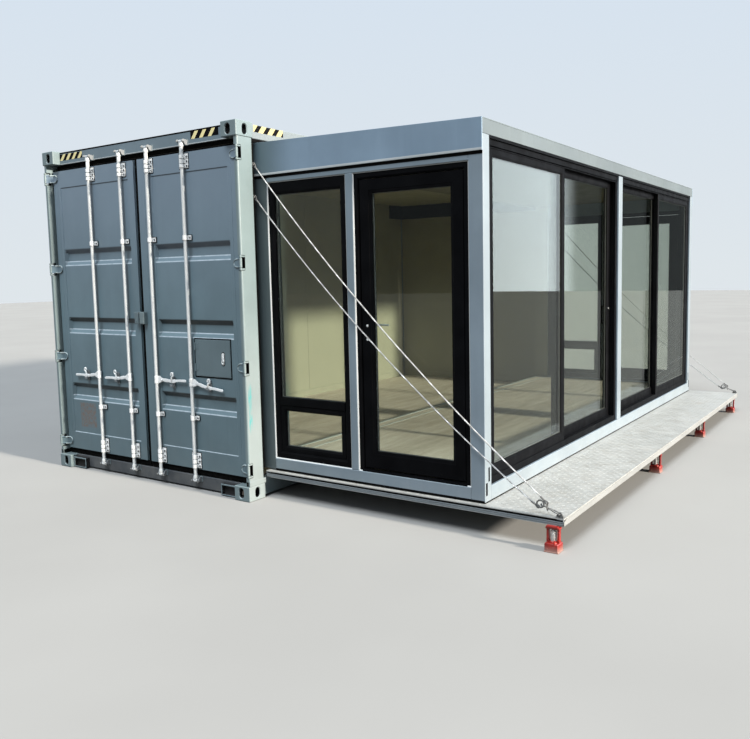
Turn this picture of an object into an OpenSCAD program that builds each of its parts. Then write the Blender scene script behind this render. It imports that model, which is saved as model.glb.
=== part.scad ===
// Twenty-foot high-cube container cabin: a steel container whose long side folds down
// as a deck, and a glazed room that slides out of it over that deck.
// Millimetres, +Z up. The modules are drawn in a working frame whose zero is the
// door-end corner of the container on the deck side, at ground level: +X points out
// over the deck, +Y runs from the cargo doors to the blank end. place() then moves
// everything so that the origin is the centre of the whole plan, at ground level.

/* [Container] */
// Length over the corner castings
box_l = 6058; // [6050:1:6064]
// Width over the corner castings
box_w = 2438; // [2434:1:2442]
// Height over the corner castings
box_h = 2896; // [2890:1:2900]
// Thickness of the cargo door leaves
leaf_t = 50; // [44:1:56]
// Gap between the two cargo door leaves
leaf_gap = 51; // [40:1:56]
// Diameter of the vertical lock bars
bar_d = 30; // [26:1:31]
// Depth of the corrugation in the long wall
corr_d = 36; // [30:1:40]

/* [Slide-out room] */
// Outer face of the room, measured out from the container side
pod_out = 1907; // [1880:1:1930]
// Top of the roof edge at the outer side
pod_top = 2704; // [2690:1:2712]
// Fall of the roof from the container to the outer side
pod_fall = 48; // [30:1:52]
// Underside of the room above the ground
pod_z = 224; // [223:1:228]
// Face of the end walls, from the end of the container
pod_y = 225; // [220:1:232]
// Width of the corner and middle posts
post_w = 105; // [95:1:115]
// Thickness of the panes
pane_t = 8; // [6:1:10]

/* [Deck] */
// Reach of the folded-down deck from the container side
deck_out = 2462; // [2440:1:2480]
// Top of the deck above the ground
deck_z = 217; // [214:1:218]
// Ends of the deck, from the end of the container
deck_y = 186; // [182:1:188]
// Diameter of the stay ropes
rope_d = 10; // [8:1:12]

/* [Hidden] */
$fn = 48;

// Castings
cast_w = 162;
cast_l = 178;
cast_h = 118;
// Corner posts
cp_w = 70;
cp_y0 = 10;
cp_y1 = 168;
// Rails, set in from the castings' faces
rail_in = 16;
rail_w = 56;
// Cargo doors: outer face of the leaves, bottom and top
leaf_y = 60;
leaf_z0 = 176;
leaf_z1 = 2723;
leaf_x = -64;
// The leaves meet a little off the middle of the container
mid_x = -box_w / 2 - 12;
left_mid = -box_w / 2 + 12;
face_y = 72;
hinge_x = -13;
hinge_y = 12;
hinge_z = [244, 1040, 1842, 2658];
bar_y = 36;
bar_off = [597, 174];
// Grooves pressed across the leaves
groove_z = [[1871, 2017], [1255, 1400], [641, 795]];
// Room
wall_d = 93;
mid_y = box_l / 2;
head_z = 2446;
roof_z = 2604;
fascia_z = 2498;
sill_z = 316;
side_sill_z = 322;
bay_y0 = 318;
bay_y1 = mid_y - 53;
jamb = 40;
trk_x0 = 1790;
trk_x1 = 1890;

module place() translate([-(deck_out - box_w) / 2, -box_l / 2, 0]) children();
module blk(x0, x1, y0, y1, z0, z1) translate([x0, y0, z0]) cube([x1 - x0, y1 - y0, z1 - z0]);
// the same piece mirrored to the blank end
module flip_y() translate([0, box_l, 0]) mirror([0, 1, 0]) children();
// the same piece mirrored to the long closed side
module flip_x() translate([-box_w, 0, 0]) mirror([1, 0, 0]) children();
module both_ends() { children(); flip_y() children(); }
module both_sides() { children(); flip_x() children(); }
// a slot with round ends, cut d deep from z = 0 upwards, long along Y
module slot(l, r, d) linear_extrude(d) union() {
  translate([0, l / 2 - r]) circle(r);
  translate([0, r - l / 2]) circle(r);
  square([2 * r, l - 2 * r], center = true);
}
// a plate with a rectangular hole, standing in the X-Z plane
module ring_xz(x0, x1, z0, z1, y0, y1, wl, wr, wb, wt) difference() {
  blk(x0, x1, y0, y1, z0, z1);
  blk(x0 + wl, x1 - wr, y0 - 1, y1 + 1, z0 + wb, z1 - wt);
}
// a plate with a rectangular hole, standing in the Y-Z plane
module ring_yz(y0, y1, z0, z1, x0, x1, w, wb, wt) difference() {
  blk(x0, x1, y0, y1, z0, z1);
  blk(x0 - 1, x1 + 1, y0 + w, y1 - w, z0 + wb, z1 - wt);
}
// pressed sheet: trapezoid waves along X, sheet between y = 0 and y = d
function wave(i, p, d, t) = [[i * p, 0], [i * p + p * 0.26, 0], [i * p + p * 0.5, d - t], [i * p + p * 0.76, d - t]];
function wave_back(i, p, d, t) = [[i * p + p * 0.76 + t * 0.4, d], [i * p + p * 0.5 - t * 0.4, d], [i * p + p * 0.26 - t * 0.4, t], [i * p + t * 0.4, t]];
module pressed(len, n, d, t, h) linear_extrude(h) polygon(concat(
  [for (i = [0:n - 1]) each wave(i, len / n, d, t)], [[len, 0], [len, t]],
  [for (i = [n - 1:-1:0]) each wave_back(i, len / n, d, t)]));

// ---------- container frame ----------
module casting() difference() {
  blk(-cast_w, 0, 0, cast_l, 0, cast_h);
  translate([-28, cast_l / 2, 59]) rotate([0, 90, 0]) rotate([0, 0, 90]) slot(79, 25, 30);
  translate([-cast_w / 2, 28, 59]) rotate([90, 0, 0]) slot(79, 25, 30);
  translate([-cast_w / 2, cast_l / 2, -1]) slot(124, 31.5, 28);
}
module corner_castings() place() color("slategray") both_sides() both_ends() {
  casting();
  translate([0, 0, box_h]) mirror([0, 0, 1]) casting();
}
module hinge_notches() for (z = hinge_z) blk(-cp_w - 1, 1, cp_y0 - 1, 50, z - 58, z + 58);
module corner_posts() place() color("slategray") both_sides() {
  difference() {
    union() {
      blk(-40, -3, cp_y0, cp_y1, cast_h, box_h - cast_h);
      blk(-cp_w, -40, 117, cp_y1, cast_h, box_h - cast_h);
      blk(-40, 0, cp_y0, cast_l, cast_h, 160);
      blk(-12, 0, cast_l, 190, cast_h, 160);
    }
    hinge_notches();
  }
  flip_y() blk(-cp_w, -3, cp_y0, cp_y1, cast_h, box_h - cast_h);
}
module door_header() place() color("slategray") union() {
  blk(cast_w - box_w, -cast_w, face_y, 150, 2778, box_h - 10);
  blk(cp_w - box_w, -cp_w, face_y, 150, 2747, 2778);
  blk(cast_w - box_w, -cast_w, 150, cast_l, box_h - 22, box_h - 14);
}
module door_sill() place() color("slategray") union() {
  blk(cast_w - box_w, -cast_w, face_y, 150, 15, cast_h);
  blk(cp_w - box_w, -cp_w, 117, 150, cast_h, 162);
}
module sill_recess_boxes() place() color("slategray") both_sides() difference() {
  blk(-343, -cast_w, 30, face_y, 6, 100);
  blk(-332, -178, 29, 66, 16, 88);
}
module blank_end_frame() place() color("slategray") flip_y() {
  union() {
    blk(cast_w - box_w, -cast_w, 12, 120, 2778, box_h - 10);
    blk(cast_w - box_w, -cast_w, 120, cast_l, box_h - 22, box_h - 14);
  }
  union() {
    blk(cast_w - box_w, -cast_w, 12, 120, 15, cast_h);
    blk(cp_w - box_w, -cp_w, 12, 120, cast_h, 145);
  }
}
module top_side_rails() place() color("slategray") both_sides()
  blk(-rail_in - rail_w, -rail_in, cast_l, box_l - cast_l, 2778, box_h - 12);
module bottom_side_rails() place() color("slategray") both_sides()
  blk(-rail_in - rail_w, -rail_in, cast_l, box_l - cast_l, 20, 162);
module roof_panel() place() color("slategray")
  translate([-rail_in - rail_w, cast_l, box_h - 14]) rotate([0, 0, 90]) rotate([90, 0, 0]) mirror([0, 1, 0])
    translate([0, 0, -(box_w - 2 * (rail_in + rail_w))]) mirror([0, 0, 0])
      pressed(box_l - 2 * cast_l, 27, 22, 4, box_w - 2 * (rail_in + rail_w));
module long_side_wall() place() color("slategray")
  translate([-box_w + 20 + corr_d, cp_y1, 162]) rotate([0, 0, 90])
    pressed(box_l - 2 * cp_y1, 20, corr_d, 4, 2778 - 162);
module blank_end_wall() place() color("slategray")
  translate([-box_w + cp_w, box_l - 62, 145])
    pressed(box_w - 2 * cp_w, 9, 45, 4, 2778 - 145);
module cross_members() place() color("dimgray")
  for (i = [0:11]) blk(-box_w + 72, -72, 250 + i * 500, 250 + i * 500 + 45, 30, 140);
module container_floor() place() color("gray")
  blk(-box_w + 72, -72, 152, box_l - 122, 145, 173);
module wall_linings() place() color("whitesmoke") {
  blk(-box_w + 58, -box_w + 71, cp_y1 + 2, box_l - cp_y1 - 2, 173, 2766);
  blk(-box_w + 75, -72, box_l - 142, box_l - 126, 173, 2766);
}
module ceiling_lining() place() color("white")
  blk(-box_w + 58, -72, 180, box_l - 180, 2768, 2778);
// hinge lugs with their pins on the door posts, and the keepers for the lock bars
module hinge_lug(z) translate([hinge_x, hinge_y, z]) union() {
  for (s = [-1, 1]) translate([0, 0, s * 48 - 6]) linear_extrude(12) union() {
    circle(11);
    translate([-11, 0]) square([22, 38]);
  }
  translate([0, 0, -57]) cylinder(r = 7, h = 114);
}
module keeper(x, z) both_lugs(x) blk(-5, 5, 16, face_y, z, z + 46);
module both_lugs(x) for (s = [-1, 1]) translate([x + s * 36, 0, 0]) children();
module door_end_fittings() place() color("silver") {
  both_sides() for (z = hinge_z) hinge_lug(z);
  for (o = bar_off) {
    keeper(mid_x + o, 2776); keeper(mid_x + o, 72);
    flip_x() { keeper(left_mid + o, 2776); keeper(left_mid + o, 72); }
  }
}

// ---------- deck ----------
module deck_frame() place() color("lightslategray") union() {
  difference() {
    blk(8, deck_out, deck_y, box_l - deck_y, 167, deck_z - 8);
    blk(68, deck_out - 60, deck_y + 50, box_l - deck_y - 50, 166, deck_z);
  }
  for (i = [1:9]) blk(60, deck_out - 50, deck_y + 25 + i * (box_l - 2 * deck_y - 50) / 10 - 20, deck_y + 25 + i * (box_l - 2 * deck_y - 50) / 10 + 20, 172, deck_z - 8);
  for (i = [0:5]) translate([-6, 380 + i * (box_l - 1000) / 5, 190]) {
    rotate([-90, 0, 0]) cylinder(r = 15, h = 240);
    blk(-20, 0, 0, 240, -28, 0);
    blk(0, 16, 0, 240, -14, 8);
  }
}
module deck_plate() place() color("gainsboro")
  blk(8, deck_out, deck_y, box_l - deck_y, deck_z - 8, deck_z);
jack_at = [[2392, 194], [2410, 2452], [2410, 4125], [2410, 5740]];
module jack() union() {
  translate([-48, -45, 0]) cube([96, 90, 14]);
  cylinder(r = 36, h = 96);
  translate([0, 0, 96]) cylinder(r1 = 36, r2 = 24, h = 12);
  translate([0, 0, 100]) cylinder(r = 14, h = 60);
  translate([0, 0, 153]) cylinder(r = 24, h = 14);
  translate([30, -14, 14]) cube([22, 28, 60]);
}
module deck_jacks() place() color("crimson") for (p = jack_at) translate([p[0], p[1], 0]) jack();

// ---------- stays ----------
stay_y = 195;
stay_top = [-20, 2584];
stay_low = [-20, 2340];
ring_at = [2304, 288];
eye_at = [2436, 240];
// a rope that sags by s below the line from a to b, lying in the plane y = stay_y
module rope(a, b, s) {
  c = norm(b - a);
  r = (c * c / 4 + s * s) / (2 * s);
  phi = asin(c / 2 / r);
  translate([(a[0] + b[0]) / 2, stay_y, (a[1] + b[1]) / 2]) rotate([90, 0, 0])
    rotate([0, 0, atan2(b[1] - a[1], b[0] - a[0])])
      translate([0, r - s, 0]) rotate([0, 0, -90 - phi])
        rotate_extrude(angle = 2 * phi, $fn = 1800) translate([r, 0]) circle(rope_d / 2, $fn = 16);
}
module stay_ropes() place() color("silver") both_ends() {
  rope(stay_top + [14, -14], ring_at + [7, 43], 82);
  rope(stay_low + [14, -14], ring_at + [-57, 6], 88);
}
// a short round rod from a to b in the plane y = stay_y
module link(a, b, r) translate([a[0], stay_y, a[1]]) rotate([0, atan2(b[0] - a[0], b[1] - a[1]), 0])
  cylinder(r = r, h = norm(b - a));
module post_eye(p) translate([p[0], cp_y1, p[1]]) rotate([-90, 0, 0]) union() {
  cylinder(r = 20, h = 6);
  cylinder(r = 9, h = 38);
}
module stay_fittings() place() color("silver") both_ends() {
  post_eye(stay_top);
  post_eye(stay_low);
  union() {
    translate([ring_at[0], stay_y, ring_at[1]]) rotate([90, 0, 0]) rotate_extrude() translate([17, 0]) circle(5);
    translate([ring_at[0] + 12, stay_y, ring_at[1] - 12]) rotate([0, atan2(eye_at[0] - ring_at[0], eye_at[1] - ring_at[1]), 0])
      cylinder(r = 6, h = norm(eye_at - ring_at) - 20);
    link(ring_at + [13, 38], ring_at + [42, 12], 6);
    link(ring_at + [42, 12], ring_at + [48, -24], 5);
    link(ring_at + [-51, 2], ring_at + [-17, -18], 6);
    blk(eye_at[0] - 26, eye_at[0] + 20, stay_y - 6, stay_y + 6, deck_z, eye_at[1] + 16);
  }
}

// ---------- cargo doors, drawn as the leaf on the deck side ----------
// m is the line where the leaves meet
module groove(z0, z1, x0, x1) translate([x0, 0, 0]) rotate([90, 0, 90]) linear_extrude(x1 - x0)
  polygon([[leaf_y - 1, z0 - 1], [leaf_y + 34, z0 + 34], [leaf_y + 34, z1 - 34], [leaf_y - 1, z1 + 1]]);
module leaf(m, x_in) difference() {
  blk(m + leaf_gap / 2, leaf_x, leaf_y, leaf_y + leaf_t, leaf_z0, leaf_z1);
  for (g = groove_z) groove(g[0], g[1], x_in, -164);
  for (z = [335, 2570]) blk(x_in, -164, leaf_y - 1, leaf_y + 6, z - 4, z + 4);
}
module gasket(m) difference() {
  blk(m + 4, leaf_x + 17, leaf_y + 16, leaf_y + leaf_t - 8, leaf_z0 - 50, leaf_z1 + 18);
  blk(m + leaf_gap / 2, leaf_x, leaf_y, leaf_y + leaf_t + 1, leaf_z0, leaf_z1);
}
// a hinge blade that swings round the pin on the post
module blade(z) translate([hinge_x, hinge_y, z - 36]) difference() {
  union() {
    cylinder(r = 11, h = 72);
    linear_extrude(72) polygon([[-4, -9], [-30, 15], [-46, 15], [-70, 38], [-114, 38], [-114, 48], [-66, 48], [-42, 25], [-26, 25], [6, 8]]);
  }
  translate([0, 0, -1]) cylinder(r = 7.8, h = 74);
}
// guides that hold a lock bar to the leaf, at x
module guide(x, z, h) translate([x, 0, z]) difference() {
  union() {
    blk(-22, 22, 16, leaf_y, 0, h);
    blk(-44, 44, leaf_y - 6, leaf_y, 0, h);
  }
  translate([0, bar_y, -1]) cylinder(r = bar_d / 2 + 1.5, h = h + 2);
}
module guides(x) {
  guide(x, 585, 36);
  guide(x, 2038, 36);
  union() { for (k = [0:2]) guide(x, 190 + k * 42, 24); blk(x - 44, x + 44, leaf_y - 6, leaf_y, 186, 312); }
  union() { for (k = [0:2]) guide(x, 2598 + k * 42, 24); blk(x - 44, x + 44, leaf_y - 6, leaf_y, 2598, 2712); }
}
// shelf under a lock handle
module handle_rest(x) union() {
  blk(x - 16, x + 16, leaf_y - 6, leaf_y, 845, 925);
  blk(x - 16, x + 16, 24, leaf_y - 6, 845, 853);
}
module door_hardware(m) {
  for (z = hinge_z) blade(z);
  for (o = bar_off) { guides(m + o); handle_rest(m + o + 172); }
}
// lock bar with its cams and handle; the handle droops by a degrees
module lock_bar(x, a) translate([x, bar_y, 0]) union() {
  translate([0, 0, 76]) cylinder(d = bar_d, h = 2740);
  for (z = [76, 2790]) translate([-20, -12, z]) cube([40, 24, 26]);
  translate([0, 0, 874]) cylinder(r = 18, h = 42);
  translate([14, 0, 895]) rotate([0, a, 0]) translate([0, 0, -12]) cube([353, 12, 24]);
}
module left_door_leaf() place() color("slategray") flip_x() leaf(left_mid, left_mid + 102);
module left_door_gasket() place() color("black") flip_x() gasket(left_mid);
module left_door_hardware() place() color("silver") flip_x() door_hardware(left_mid);
module lock_box() place() color("slategray") blk(mid_x - 58, mid_x - 5, 24, leaf_y, 1357, 1461);
module right_door_leaf() place() color("slategray") difference() {
  leaf(mid_x, mid_x + 194);
  blk(-612, -200, leaf_y - 1, leaf_y + 24, 939, 1255);
}
module right_door_gasket() place() color("black") gasket(mid_x);
module right_door_hardware() place() color("silver") {
  door_hardware(mid_x);
  blk(mid_x + 5, mid_x + 66, 24, leaf_y, 1357, 1461);
}
hatch_x = -598;
hatch_y = 54;
module access_hatch() place() color("slategray") union() {
  blk(-606, -206, 60, 76, 945, 1249);
  translate([hatch_x, hatch_y, 990]) cylinder(r = 6, h = 60);
  translate([hatch_x, hatch_y, 1160]) cylinder(r = 6, h = 60);
  blk(-299, -273, 48, 60, 1050, 1146);
}
module left_outer_lock_bar() place() color("silver") flip_x() lock_bar(left_mid + bar_off[0], 3);
module left_inner_lock_bar() place() color("silver") flip_x() lock_bar(left_mid + bar_off[1], 4);
module right_inner_lock_bar() place() color("silver") lock_bar(mid_x + bar_off[1], -1);
module right_outer_lock_bar() place() color("silver") lock_bar(mid_x + bar_off[0], 8);

// ---------- slide-out room ----------
in_x = -100;
end_x = 78;
mull_x0 = 820;
mull_x1 = 884;
post_x = pod_out - post_w;
wall_y1 = pod_y + wall_d;
module room_floor() place() color("gray") blk(in_x, post_x, wall_y1, box_l - wall_y1, pod_z, 300);
module room_roof() place() color("gainsboro") translate([0, box_l - pod_y, 0]) rotate([90, 0, 0]) linear_extrude(box_l - 2 * pod_y)
  polygon([[in_x, roof_z], [pod_out - 20, roof_z], [pod_out - 20, pod_top], [in_x, pod_top + pod_fall]]);
module end_fascias() place() color("slategray") both_ends()
  translate([0, pod_y, 0]) rotate([90, 0, 0]) linear_extrude(12)
    polygon([[in_x, fascia_z], [pod_out, fascia_z], [pod_out, pod_top], [in_x, pod_top + pod_fall]]);
module side_fascia() place() color("gainsboro") blk(pod_out - 20, pod_out, pod_y, box_l - pod_y, roof_z, pod_top);
module room_posts() place() color("whitesmoke") {
  both_ends() blk(post_x, pod_out, pod_y, wall_y1, pod_z, roof_z);
  both_ends() blk(in_x, end_x, pod_y, wall_y1, pod_z, roof_z);
  both_ends() blk(mull_x0, mull_x1, pod_y, wall_y1, sill_z, head_z);
  blk(post_x, pod_out, bay_y1, box_l - bay_y1, side_sill_z, roof_z);
}
module sill_beams() place() color("gainsboro") {
  both_ends() blk(end_x, post_x, pod_y, wall_y1, pod_z, sill_z);
  blk(post_x, pod_out, wall_y1, box_l - wall_y1, pod_z, side_sill_z);
}
module head_beams() place() color("slategray")
  both_ends() blk(end_x, post_x, pod_y, wall_y1, head_z, roof_z);
win_y0 = 235;
win_y1 = 305;
module window_frames() place() color("black") both_ends() union() {
  ring_xz(end_x, mull_x0, sill_z, head_z, win_y0, win_y1, 60, 60, 60, 60);
  blk(end_x + 59, mull_x0 - 59, win_y0, win_y1, 741, 801);
  ring_xz(end_x + 60, mull_x0 - 60, sill_z + 60, 741, win_y0 + 6, win_y0 + 46, 45, 45, 45, 45);
}
// the hinges of the end doors: pins on the frame, knuckles on the leaf
gh_x = post_x - 45;
gh_y = win_y1 + 8;
gh_z = [560, 1360, 2170];
module frame_hinge(z) translate([gh_x, gh_y, z]) union() {
  cylinder(r = 8, h = 34);
  cylinder(r = 4, h = 104);
  translate([0, 0, 70]) cylinder(r = 8, h = 34);
  for (k = [0, 70]) translate([0, -8, k]) cube([32, 4, 34]);
}
module leaf_hinge(z) translate([gh_x, gh_y, z + 35]) difference() {
  union() {
    cylinder(r = 8, h = 34);
    translate([-18, -20, 0]) cube([12, 18, 34]);
  }
  translate([0, 0, -1]) cylinder(r = 4.6, h = 36);
}
module door_frames() place() color("black") both_ends() union() {
  ring_xz(mull_x1, post_x, sill_z, head_z, win_y0, win_y1, 41, 41, 20, 45);
  for (z = gh_z) frame_hinge(z);
}
module slider_frames() place() color("black") both_ends()
  ring_yz(bay_y0, bay_y1, side_sill_z, roof_z, trk_x0, trk_x1, jamb, 45, 66);
bay_c = (bay_y0 + bay_y1) / 2;
sash_z0 = side_sill_z + 45;
sash_z1 = roof_z - 66;
module fixed_sashes() place() color("black") both_ends()
  ring_yz(bay_y0 + jamb, bay_c + 30, sash_z0, sash_z1, 1845, 1885, 60, 80, 60);
module fixed_panes() place() color("lightblue") both_ends() {
  blk(end_x + 60, mull_x0 - 60, win_y0 + 24, win_y0 + 24 + pane_t, 801, head_z - 60);
  blk(end_x + 105, mull_x0 - 105, win_y0 + 24, win_y0 + 24 + pane_t, sill_z + 105, 696);
  blk(1861, 1861 + pane_t, bay_y0 + jamb + 60, bay_c - 30, sash_z0 + 80, sash_z1 - 60);
}
dl_x0 = mull_x1 + 48;
dl_x1 = post_x - 47;
dl_y0 = 243;
dl_y1 = 293;
module glazed_leaf() union() {
  ring_xz(dl_x0, dl_x1, sill_z + 27, head_z - 51, dl_y0, dl_y1, 98, 98, 126, 97);
  for (z = gh_z) leaf_hinge(z);
}
module glazed_pane() blk(dl_x0 + 98, dl_x1 - 98, dl_y0 + 21, dl_y0 + 21 + pane_t, sill_z + 153, head_z - 148);
module front_door_leaf() place() color("black") glazed_leaf();
module front_door_pane() place() color("lightblue") glazed_pane();
module rear_door_leaf() place() color("black") flip_y() glazed_leaf();
module rear_door_pane() place() color("lightblue") flip_y() glazed_pane();
module sliding_sash() ring_yz(bay_c - 30, bay_y1 - jamb - 5, sash_z0 + 5, sash_z1 - 5, 1797, 1837, 60, 75, 55);
module sliding_pane() blk(1813, 1813 + pane_t, bay_c + 30, bay_y1 - jamb - 65, sash_z0 + 80, sash_z1 - 60);
module near_sliding_sash() place() color("black") sliding_sash();
module near_sliding_pane() place() color("lightblue") sliding_pane();
module far_sliding_sash() place() color("black") flip_y() sliding_sash();
module far_sliding_pane() place() color("lightblue") flip_y() sliding_pane();

corner_castings();
corner_posts();
door_header();
door_sill();
sill_recess_boxes();
blank_end_frame();
top_side_rails();
bottom_side_rails();
roof_panel();
long_side_wall();
blank_end_wall();
cross_members();
container_floor();
wall_linings();
ceiling_lining();
door_end_fittings();
deck_frame();
deck_plate();
deck_jacks();
stay_ropes();
stay_fittings();
left_door_leaf();
left_door_gasket();
left_door_hardware();
lock_box();
right_door_leaf();
right_door_gasket();
right_door_hardware();
access_hatch();
left_outer_lock_bar();
left_inner_lock_bar();
right_inner_lock_bar();
right_outer_lock_bar();
room_floor();
room_roof();
end_fascias();
side_fascia();
room_posts();
sill_beams();
head_beams();
window_frames();
door_frames();
slider_frames();
fixed_sashes();
fixed_panes();
front_door_leaf();
front_door_pane();
rear_door_leaf();
rear_door_pane();
near_sliding_sash();
near_sliding_pane();
far_sliding_sash();
far_sliding_pane();
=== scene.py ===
import bpy, bmesh, math
from mathutils import Vector, Matrix
from mathutils.geometry import tessellate_polygon


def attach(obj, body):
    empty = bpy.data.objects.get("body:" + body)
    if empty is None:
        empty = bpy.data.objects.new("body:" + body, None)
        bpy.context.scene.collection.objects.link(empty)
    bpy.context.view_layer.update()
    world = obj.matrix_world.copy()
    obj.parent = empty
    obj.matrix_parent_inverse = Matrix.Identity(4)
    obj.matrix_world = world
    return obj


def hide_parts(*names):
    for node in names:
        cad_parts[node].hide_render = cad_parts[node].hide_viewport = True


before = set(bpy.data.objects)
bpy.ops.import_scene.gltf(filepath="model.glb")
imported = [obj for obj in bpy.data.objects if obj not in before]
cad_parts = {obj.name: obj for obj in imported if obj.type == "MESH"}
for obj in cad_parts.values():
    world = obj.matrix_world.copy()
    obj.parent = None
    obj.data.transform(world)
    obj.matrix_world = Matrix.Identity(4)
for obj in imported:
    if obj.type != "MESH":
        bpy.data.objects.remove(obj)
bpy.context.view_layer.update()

scene = bpy.context.scene


# ---------- working frame: millimetres, zero at the container's door-end corner on the deck side ----------
def P(x, y, z):
    return Vector(((x - 12) / 1000, (y - 3029) / 1000, z / 1000))


L, W, H = 6058, 2438, 2896
I4 = Matrix.Identity(4)
FX = Matrix.Translation((-W, 0, 0)) @ Matrix.Diagonal((-1, 1, 1, 1))
FY = Matrix.Translation((0, L, 0)) @ Matrix.Diagonal((1, -1, 1, 1))
FZ = Matrix.Translation((0, 0, H)) @ Matrix.Diagonal((1, 1, -1, 1))
SIDES, ENDS = [I4, FX], [I4, FY]

# ---------- camera ----------
cam_data = bpy.data.cameras.new("camera")
cam_data.sensor_fit = "HORIZONTAL"
cam_data.sensor_width = 36
cam_data.lens = 779.61 / 750 * 36
cam_data.shift_x = -0.0169
cam_data.shift_y = -0.0219
cam_data.clip_start = 0.05
cam_data.clip_end = 400
camera = bpy.data.objects.new("camera", cam_data)
right = Vector((0.8304, 0.5569, -0.0200)).normalized()
forward = Vector((-0.5559, 0.8253, -0.0991)).normalized()
up = right.cross(forward).normalized()
right = forward.cross(up)
camera.matrix_world = Matrix((
    (right.x, up.x, -forward.x, 4.1701),
    (right.y, up.y, -forward.y, -7.2948),
    (right.z, up.z, -forward.z, 1.7255),
    (0, 0, 0, 1)))
scene.collection.objects.link(camera)
scene.camera = camera

# ---------- light ----------
world = bpy.data.worlds.new("studio")
scene.world = world
world.use_nodes = True
bg = world.node_tree.nodes["Background"]
sky = world.node_tree.nodes.new("ShaderNodeValToRGB")
sky.color_ramp.elements[0].position, sky.color_ramp.elements[0].color = 0.50, (0.80, 0.86, 0.90, 1)
sky.color_ramp.elements[1].position, sky.color_ramp.elements[1].color = 0.95, (0.62, 0.78, 1.0, 1)
co = world.node_tree.nodes.new("ShaderNodeTexCoord")
sep = world.node_tree.nodes.new("ShaderNodeSeparateXYZ")
half = world.node_tree.nodes.new("ShaderNodeMapRange")
half.inputs["From Min"].default_value = -1
world.node_tree.links.new(co.outputs["Generated"], sep.inputs[0])
world.node_tree.links.new(sep.outputs[2], half.inputs["Value"])
world.node_tree.links.new(half.outputs[0], sky.inputs[0])
world.node_tree.links.new(sky.outputs[0], bg.inputs[0])
# the backdrop and its mirror images are brighter than the light that it gives
path = world.node_tree.nodes.new("ShaderNodeLightPath")
level = world.node_tree.nodes.new("ShaderNodeMapRange")
level.inputs["To Min"].default_value = 0.92
level.inputs["To Max"].default_value = 0.44
world.node_tree.links.new(path.outputs["Is Diffuse Ray"], level.inputs["Value"])
# mirrored in the long side's glass, the studio is bright beside the camera and dark further round
round_ = world.node_tree.nodes.new("ShaderNodeMath")
round_.operation = "DIVIDE"
world.node_tree.links.new(sep.outputs[0], round_.inputs[0])
world.node_tree.links.new(sep.outputs[1], round_.inputs[1])
flag = world.node_tree.nodes.new("ShaderNodeValToRGB")
flag.color_ramp.elements[0].position, flag.color_ramp.elements[0].color = 0.05, (0.92, 0.92, 0.92, 1)
flag.color_ramp.elements[1].position, flag.color_ramp.elements[1].color = 0.60, (3.3, 3.3, 3.3, 1)
for at, v in ((0.10, 0.07), (0.37, 0.10), (0.41, 3.3)):
    e = flag.color_ramp.elements.new(at)
    e.color = (v, v, v, 1)
world.node_tree.links.new(round_.outputs[0], flag.inputs[0])
front = world.node_tree.nodes.new("ShaderNodeMath")
front.operation = "GREATER_THAN"
world.node_tree.links.new(sep.outputs[1], front.inputs[0])
front.inputs[1].default_value = 0.0
both = world.node_tree.nodes.new("ShaderNodeMath")
both.operation = "MULTIPLY"
world.node_tree.links.new(front.outputs[0], both.inputs[0])
world.node_tree.links.new(path.outputs["Is Glossy Ray"], both.inputs[1])
# the glazed end mirrors a dimmer part of it
flag_end = world.node_tree.nodes.new("ShaderNodeValToRGB")
flag_end.color_ramp.elements[0].position, flag_end.color_ramp.elements[0].color = 0.91, (0.35, 0.35, 0.35, 1)
flag_end.color_ramp.elements[1].position, flag_end.color_ramp.elements[1].color = 0.96, (0.92, 0.92, 0.92, 1)
for at, v in ((0.735, 0.14), (0.765, 0.35)):
    e = flag_end.color_ramp.elements.new(at)
    e.color = (v, v, v, 1)
world.node_tree.links.new(round_.outputs[0], flag_end.inputs[0])
behind = world.node_tree.nodes.new("ShaderNodeMath")
behind.operation = "LESS_THAN"
world.node_tree.links.new(sep.outputs[1], behind.inputs[0])
behind.inputs[1].default_value = 0.0
both_end = world.node_tree.nodes.new("ShaderNodeMath")
both_end.operation = "MULTIPLY"
world.node_tree.links.new(behind.outputs[0], both_end.inputs[0])
world.node_tree.links.new(path.outputs["Is Glossy Ray"], both_end.inputs[1])
end_level = world.node_tree.nodes.new("ShaderNodeMix")
end_level.data_type = "FLOAT"
world.node_tree.links.new(both_end.outputs[0], end_level.inputs[0])
world.node_tree.links.new(level.outputs[0], end_level.inputs[2])
world.node_tree.links.new(flag_end.outputs[0], end_level.inputs[3])
pick_level = world.node_tree.nodes.new("ShaderNodeMix")
pick_level.data_type = "FLOAT"
world.node_tree.links.new(both.outputs[0], pick_level.inputs[0])
world.node_tree.links.new(end_level.outputs[0], pick_level.inputs[2])
world.node_tree.links.new(flag.outputs[0], pick_level.inputs[3])
world.node_tree.links.new(pick_level.outputs[0], bg.inputs[1])


def lamp(name, energy, angle, color, aim):
    data = bpy.data.lights.new(name, "SUN")
    data.energy, data.angle, data.color = energy, math.radians(angle), color
    o = bpy.data.objects.new(name, data)
    o.rotation_euler = Vector(aim).to_track_quat("-Z", "Y").to_euler()
    scene.collection.objects.link(o)


lamp("key", 9.8, 4, (1.0, 0.91, 0.79), (-1, 0.012, -0.30))
lamp("fill", 3.6, 26, (0.93, 0.97, 1.0), (-0.1, 0.50, -0.86))
scene.view_settings.view_transform = "Standard"


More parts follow.
